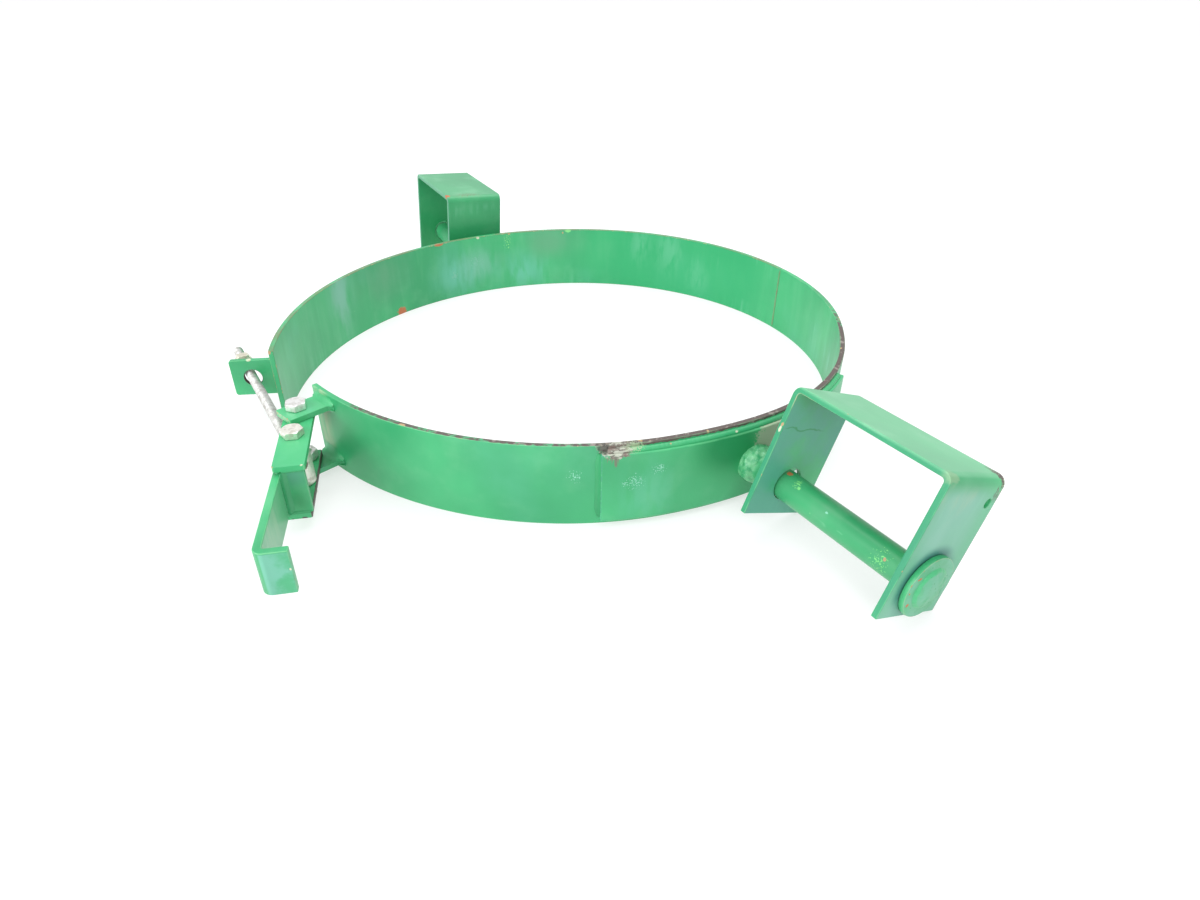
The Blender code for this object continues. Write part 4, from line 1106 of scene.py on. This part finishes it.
def make_lug():
    low_corner = (GAP, -LUG_HALF_WIDTH, -LUG_HALF_THICKNESS)
    lug = plate("rod_lug_plate", low_corner, (LUG_LENGTH, LUG_HALF_WIDTH, LUG_HALF_THICKNESS), 0.003)
    bore(lug, (LUG_HOLE_REACH, 0.0, 0.0), LUG_HOLE_RADIUS, 0.02, sides=48)
    soften(lug, 0.0006)
    turn_mesh(lug, 90, "X")
    coat = Enamel("lug_enamel", LUG, seed=21.0)
    coat.oxide(0.2)
    coat.chips([((-0.0966, -0.2872, 0.0570), 0.0016, CREAM, (0.6, 0.6, 1.0))])
    coat.edge_highlight_and_wear(0.45, 0.62)
    reach = coat.distance(coat.local, (LUG_HOLE_REACH, 0.0, 0.0), (1.0, 0.0, 1.0))
    rim = coat.fade(reach, LUG_HOLE_RADIUS + 0.0002, LUG_HOLE_RADIUS + 0.0006)
    coat.layer(rim, BARE_STEEL, 0.5, metal=0.4)
    painted(lug, "clamp_band", coat, ["rod_lug"], LUG)
    enamel = Enamel("lug_weld_enamel", LUG, seed=22.0, dull=0.2).done()
    for name, side in (("lug_weld_near", 1), ("lug_weld_far", -1)):
        foot, head = [(0.0002, side * LUG_HALF_THICKNESS, height) for height in (-0.0175, 0.0175)]
        path = steps_between(foot, head, 10)
        weld = fillet(name, path, (1.0, 0.0, 0.0), (0.0, side, 0.0), 0.0034)
        finish_piece(weld, "clamp_band", enamel, frame_at=LUG)


def ear_offset(angle, depth):
    """A point of the band's outer side in the ears' own frame."""
    inverse = frame_matrix(EARS).inverted()
    return inverse @ band_point(angle, depth)


def make_ears():
    low_side, high_side = EAR_SHIFT - EAR_HALF_WIDTH, EAR_SHIFT + EAR_HALF_WIDTH

    def tip_corner(edge):
        return middle(edge).x > EAR_TIP - 0.001 and stands_upright(edge, 0.002)

    for name, low, node in (
        ("ear_top", UPPER_EAR_LOW, "upper_ear"), ("ear_bottom", LOWER_EAR_LOW, "lower_ear"),
    ):
        ear = plate(name, (EAR_START, low_side, low), (EAR_TIP, high_side, low + PLATE_THICKNESS))
        bpy.ops.object.mode_set(mode="EDIT")
        pick(ear, "EDGE", tip_corner)
        bpy.ops.mesh.bevel(offset=0.0015, segments=4, affect="EDGES")
        for step in range(1, 7):
            pick(ear, "FACE", lambda face: face.normal.x < -0.9)
            sweep, last = math.radians(90 * step / 6), math.radians(90 * (step - 1) / 6)
            reach = EAR_FLARE_LENGTH * (math.sin(sweep) - math.sin(last))
            flare = EAR_FLARE_RISE * (1 - math.cos(sweep)) + EAR_HALF_WIDTH
            before = EAR_FLARE_RISE * (1 - math.cos(last)) + EAR_HALF_WIDTH
            extrude((-reach, 0.0, 0.0))
            middle_line = (0.0, EAR_SHIFT, low)
            bpy.ops.transform.resize(value=(1.0, flare / before, 1.0), center_override=middle_line)
        pick(ear, "FACE", lambda face: face.normal.x < -0.9)
        bpy.ops.mesh.subdivide(number_cuts=5)
        seats = [ear_offset(EAR_ANGLE + step * 0.25, BAND_THICKNESS + GAP) for step in range(-16, 17)]

        def follow(vertex):
            if vertex.co.x > EAR_START - EAR_FLARE_LENGTH + 0.0002:
                return vertex.co
            nearest = min(seats, key=lambda place: abs(place.y - vertex.co.y))
            return Vector((nearest.x, vertex.co.y, vertex.co.z))

        move_points(ear, follow)
        leave_edit()
        bore(ear, (0.0, 0.0, low + PLATE_THICKNESS / 2), BOLT_RADIUS + GAP, 0.02)
        soften(ear, 0.0006)
        coat = Enamel(name + "_enamel", EARS, seed=24.0, dull=0.3)
        coat.oxide(0.3, 40.0)
        coat.edge_highlight_and_wear(0.5, 0.64)
        tip_edge = coat.step(coat.x, EAR_TIP - 0.0003, EAR_TIP)
        coat.layer(tip_edge * coat.step(coat.noise(260.0, 4.0), 0.42, 0.56) * 0.7, RUBBED, 0.55)
        coat.chips([
            ((0.0555, -0.2885, 0.0705), 0.0009, PRIMER_TAN),
            ((0.0720, -0.2842, 0.0717), 0.0008, PRIMER_TAN),
        ])
        painted(ear, "clamp_band", coat, [node], EARS)
    enamel = Enamel("ear_weld_enamel", seed=25.0, dull=0.25).done()
    out = band_normal(EAR_ANGLE)
    for name, height, up, size in (
        ("ear_weld_1", UPPER_EAR_LOW + PLATE_THICKNESS, 1, 0.0050),
        ("ear_weld_2", UPPER_EAR_LOW, -1, 0.0045),
        ("ear_weld_3", LOWER_EAR_LOW + PLATE_THICKNESS, 1, 0.0085),
        ("ear_weld_4", LOWER_EAR_LOW, -1, 0.0050),
    ):
        angles = [EAR_ANGLE - 3.0 + step * 0.5 for step in range(13)]
        path = [band_point(angle, BAND_THICKNESS + 0.0001, height) for angle in angles]
        finish_piece(fillet(name, path, out, (0.0, 0.0, up), size), "clamp_band", enamel)


def hex_bolt(name, head_low, direction, shank_end, head_turn, body, node, frame_at, warmth):
    head_far = head_low + direction * HEAD_HEIGHT
    low, high = sorted((head_low, head_far))
    head = hexagon(name, low, high, direction < 0, direction > 0)
    ends = sorted((shank_end, head_low + direction * 0.002))
    rings = [(SHANK_RADIUS - 0.0006, ends[0]), (SHANK_RADIUS, ends[0] + 0.0008), (SHANK_RADIUS, ends[1])]
    shank = turned(name + "_shank", rings, 32)
    even_shading(shank)
    ridge_ends = sorted((shank_end - direction * 0.0008, shank_end + direction * 0.018))
    ridge = thread(name + "_thread", BOLT_RADIUS, *ridge_ends, 24)
    bolt = join(head, shank, ridge)
    turn_mesh(bolt, head_turn, "Z")
    finish_piece(bolt, body, zinc(name + "_zinc", warmth, 0.30, 1.18), [node], frame_at)


def hex_nut(name, low, high, body, node, frame_at, warmth, radius=BOLT_RADIUS):
    nut = hexagon(name, low, high, True, True)
    bore(nut, (0.0, 0.0, (low + high) / 2), radius + 0.0001, 0.03, sides=32)
    even_shading(nut, 30.0)
    finish_piece(nut, body, zinc(name + "_zinc", warmth, 0.34, 1.10), [node], frame_at)


def make_bolts():
    hex_bolt("pivot_bolt_top", 0.0723, 1, 0.0508, 28.0, "clamp_band", "upper_pivot_bolt", EARS, 0.1)
    hex_nut("pivot_nut_top", 0.0530, 0.0614, "clamp_band", "upper_pivot_nut", EARS, 0.1)
    hex_bolt("pivot_bolt_bottom", 0.0077, -1, 0.0292, 28.0, "clamp_band", "lower_pivot_bolt", EARS, 0.1)
    hex_nut("pivot_nut_bottom", 0.0186, 0.0270, "clamp_band", "lower_pivot_nut", EARS, 0.1)
    hex_bolt("link_bolt_long", 0.0670, 1, 0.0024, 1.0, "latch_lever", "link_bolt", LINK, 0.5)
    hex_nut("link_bolt_nut", 0.0046, 0.0130, "latch_lever", "link_nut", LINK, 0.5)


def make_lever():
    straps = {
        "strap_top": ("lever_upper_strap", UPPER_STRAP_LOW, STRAP_SHIFT),
        "strap_bottom": ("lever_lower_strap", LOWER_STRAP_LOW, -STRAP_SHIFT),
    }
    for name, (node, low, offset) in straps.items():
        low_corner = (STRAP_START, offset - STRAP_HALF_WIDTH, low)
        strap = plate(name, low_corner, (STRAP_END, offset + STRAP_HALF_WIDTH, low + PLATE_THICKNESS), 0.0015)
        for reach in (0.0, LINK_DISTANCE):
            bore(strap, (reach, 0.0, low), BOLT_RADIUS + GAP, 0.03)
        soften(strap, 0.0006)
        coat = Enamel(name + "_enamel", LEVER, seed=27.0, dull=0.2)
        coat.oxide(0.15, 30.0)
        coat.chips([
            ((0.1426, -0.2905, 0.0668), 0.0012, CREAM),
            ((0.1342, -0.3117, 0.0668), 0.0011, PRIMER_TAN),
            ((0.1405, -0.2969, 0.0136), 0.0012, CRACK, (1.0, 0.5, 1.0)),
            ((0.1375, -0.3060, 0.0136), 0.0007, CRACK, (1.0, 0.6, 1.0)),
            ((0.1330, -0.3125, 0.0620), 0.0013, CRACK, (1.0, 0.5, 1.0)),
        ])
        coat.edge_highlight_and_wear(0.5, 0.66)
        if name == "strap_bottom":
            side = coat.step(coat.y + (coat.tear - 0.5) * 0.001, offset + 0.0118, offset + 0.0124)
            coat.layer(side, BARE_STEEL, 0.55, metal=0.3)
        painted(strap, "latch_lever", coat, [node], LEVER)

    inner = HANDLE_SIDE + HANDLE_THICKNESS
    end_plate = plate("lever_web", (WEB_NEAR, inner - 0.0002, WEB_LOW), (WEB_FAR, STRAP_HALF_WIDTH, WEB_HIGH))
    soften(end_plate, 0.0008)
    coat = Enamel("lever_web_enamel", LEVER, seed=29.0, dull=0.3)
    # A pale teal cloud at the top of the web is a painted reflection, and the dark green cloud below it is
    # painted shade.
    coat.bloom((0.1400, -0.2985, 0.0560), 0.0210, (1.0, 1.0, 1.2), WEB_REFLECTION_TEAL, 0.9, 1.0, 60.0)
    coat.bloom((0.1400, -0.2985, 0.0300), 0.0170, (1.3, 1.3, 0.8), DARK_GREEN, 0.75, 1.0, 45.0)
    coat.edge_highlight_and_wear(0.4, 0.7)
    painted(end_plate, "latch_lever", coat, ["lever_end_plate"], LEVER)

    line, lip = HANDLE_SIDE + HANDLE_THICKNESS / 2, HANDLE_END - HANDLE_THICKNESS / 2
    corners = [(HANDLE_START, line), (lip, line - HANDLE_LEAN), (lip, HANDLE_SIDE + HANDLE_LIP)]
    handle = folded_bar("pull_handle", corners, HANDLE_WIDTH, HANDLE_THICKNESS, 0.0085)
    soften(handle, 0.0009)
    swing = Matrix(((1, 0, 0, 0), (0, 0, 1, 0), (0, 1, 0, HANDLE_HEIGHT), (0, 0, 0, 1)))
    handle.data.transform(swing)
    handle.data.flip_normals()
    coat = Enamel("handle_enamel", LEVER, seed=31.0, dull=0.3)
    bloom = coat.noise(60.0, 6.0, shift=(9.0, 1.0, 5.0))
    towards_lip = coat.step(coat.x + (bloom - 0.5) * 0.03, 0.095, 0.160)
    flat = coat.fade(coat.z, 0.0570, 0.0586)
    spread = coat.y + (coat.x - HANDLE_START) * 0.0195
    inner_face = coat.step(spread, -0.0066, -0.0060) * coat.fade(coat.x, 0.1720, 0.1790) * flat
    coat.layer(inner_face * (0.30 + towards_lip * 0.55), HANDLE_PALE, 0.45)
    rubbed = coat.step(coat.noise(130.0, 4.0, (1.0, 1.0, 0.1)), 0.40, 0.70)
    coat.layer(inner_face * towards_lip * rubbed * 0.35, CREAM, 0.5)
    lip_face = coat.step(coat.x, 0.1838, 0.1848) * flat
    coat.layer(lip_face * (0.35 + coat.step(bloom, 0.42, 0.58) * 0.45), LIP_GREEN, 0.42)
    fade = coat.step(bloom * 2.2 + (coat.z - 0.032) * 12.0 - coat.y * 9.0, 0.75, 1.45)
    coat.layer(lip_face * fade * 0.85, LIP_TEAL, 0.42)
    coat.edge_highlight_and_wear(0.5, 0.66)
    coat.chips([((0.2349, -0.3252, 0.0420), 0.0008, CREAM, (1.0, 1.0, 0.7))])
    painted(handle, "latch_lever", coat, ["latch_handle"], LEVER)

    enamel = Enamel("lever_weld_enamel", LEVER, seed=33.0, dull=0.2, shade=0.9).done()
    path = steps_between((0.0855, inner, 0.0190), (0.0855, inner, 0.0608), 14)
    corner = fillet("handle_weld_web", path, (1.0, 0.0, 0.0), (0.0, 1.0, 0.0), 0.0052, 0.7)
    finish_piece(corner, "latch_lever", enamel, frame_at=LEVER)
    beads = {
        "web_weld_top": ([(0.0851, inner, 0.0612), (0.0851, 0.0118, 0.0612)], 0.0016),
        "web_weld_bottom": ([(0.0851, inner, 0.0190), (0.0851, 0.0112, 0.0190)], 0.0017),
        "handle_weld_top": ([(0.0560, inner - 0.0024, 0.0599), (0.0860, inner - 0.0024, 0.0599)], 0.0022),
        "handle_weld_bottom": ([(0.0560, inner - 0.0024, 0.0190), (0.0860, inner - 0.0024, 0.0190)], 0.0016),
    }
    for name, (line, size) in beads.items():
        bead = weld_bead(name, line, size, relief=0.4)
        finish_piece(bead, "latch_lever", enamel, frame_at=LEVER)


def make_rod():
    rings = [(BARREL_RADIUS - 0.0006, WEB_LOW), (BARREL_RADIUS, WEB_LOW + 0.0006)]
    rings += [(BARREL_RADIUS, WEB_HIGH - 0.0006), (BARREL_RADIUS - 0.0006, WEB_HIGH)]
    barrel = turned("cross_barrel", rings, 64)
    bore(barrel, (0.0, 0.0, 0.04), BOLT_RADIUS + GAP, 0.1, sides=32)
    azimuth = ROD[1][2] - LINK[1][2]
    bore(barrel, (0.0, 0.0, ROD_HEIGHT), BOLT_RADIUS + GAP, 0.1, (0.0, ROD_TILT, azimuth))
    soften(barrel, 0.0004, 2)
    coat = zinc("barrel_zinc", 0.4, 0.42, 1.22)
    finish_piece(barrel, "rod_and_barrel", coat, ["link_barrel"], LINK)

    start = BOLT_RADIUS + 0.0006
    rings = [(0.0036, start), (0.0043, start + 0.001), (0.0043, ROD_END - 0.001), (0.0034, ROD_END)]
    core = turned("adjusting_rod", rings, 32)
    even_shading(core)
    ridge = thread("adjusting_rod_thread", BOLT_RADIUS, start, ROD_END - 0.0005, 24)
    rod = join(core, ridge)
    coat = zinc("rod_zinc", 0.15, 0.34, 0.86)
    finish_piece(rod, "rod_and_barrel", coat, ["tension_rod"], ROD)
    hex_nut("rod_lock_nut", NUT_LOW, NUT_LOW + NUT_HEIGHT, "rod_nut", "adjusting_nut", ROD, 0.9)


def make_floor():
    deselect()
    bpy.ops.mesh.primitive_plane_add(size=24.0)
    floor = bpy.context.object
    floor.name = "studio_floor"
    coat = Finish("studio_floor_white")
    cloud = coat.noise(3.0, 2.0)
    coat.colour = coat.mix(cloud, *FLOOR_GREYS)
    coat.shader.inputs["Emission Color"].default_value = (1.0, 0.995, 0.998, 1.0)
    coat.shader.inputs["Emission Strength"].default_value = FLOOR_GLOW
    coat.roughness = 0.55 + cloud * 0.1
    coat.relief = cloud * 0.01
    floor.data.materials.append(coat.done())


def area_light(name, place, aim, size, power, colour):
    data = bpy.data.lights.new(name, "AREA")
    data.shape = "DISK"
    data.size = size
    data.energy = power
    data.color = colour
    light = add_object(name, data)
    light.location = place
    light.rotation_euler = (Vector(aim) - Vector(place)).to_track_quat("-Z", "Y").to_euler()


def make_light():
    world = bpy.data.worlds.new("studio")
    world.use_nodes = True
    background = world.node_tree.nodes["Background"].inputs
    background["Color"].default_value = (0.96, 0.97, 1.0, 1.0)
    background["Strength"].default_value = 0.85
    bpy.context.scene.world = world
    for light in LIGHTS:
        area_light(*light)
    bpy.context.scene.view_settings.view_transform = "Standard"


def make_camera():
    data = bpy.data.cameras.new("photo_view")
    data.sensor_width = SENSOR_WIDTH
    data.lens = SENSOR_WIDTH * FOCAL_PIXELS / PHOTO_PIXELS
    data.clip_start = 0.01
    camera = add_object("photo_view", data)
    camera.location = CAMERA_PLACE
    camera.rotation_euler = [math.radians(angle) for angle in CAMERA_TURN]
    bpy.context.scene.camera = camera


make_camera()
make_light()
make_floor()
make_band()
make_trunnion("right", TRUNNION_RIGHT, 90.0)
make_trunnion("left", TRUNNION_LEFT, -90.0)
make_bracket("right", BRACKET_RIGHT, "right_bracket")
make_bracket("left", BRACKET_LEFT, "left_bracket")
make_lug()
make_ears()
make_bolts()
make_lever()
make_rod()
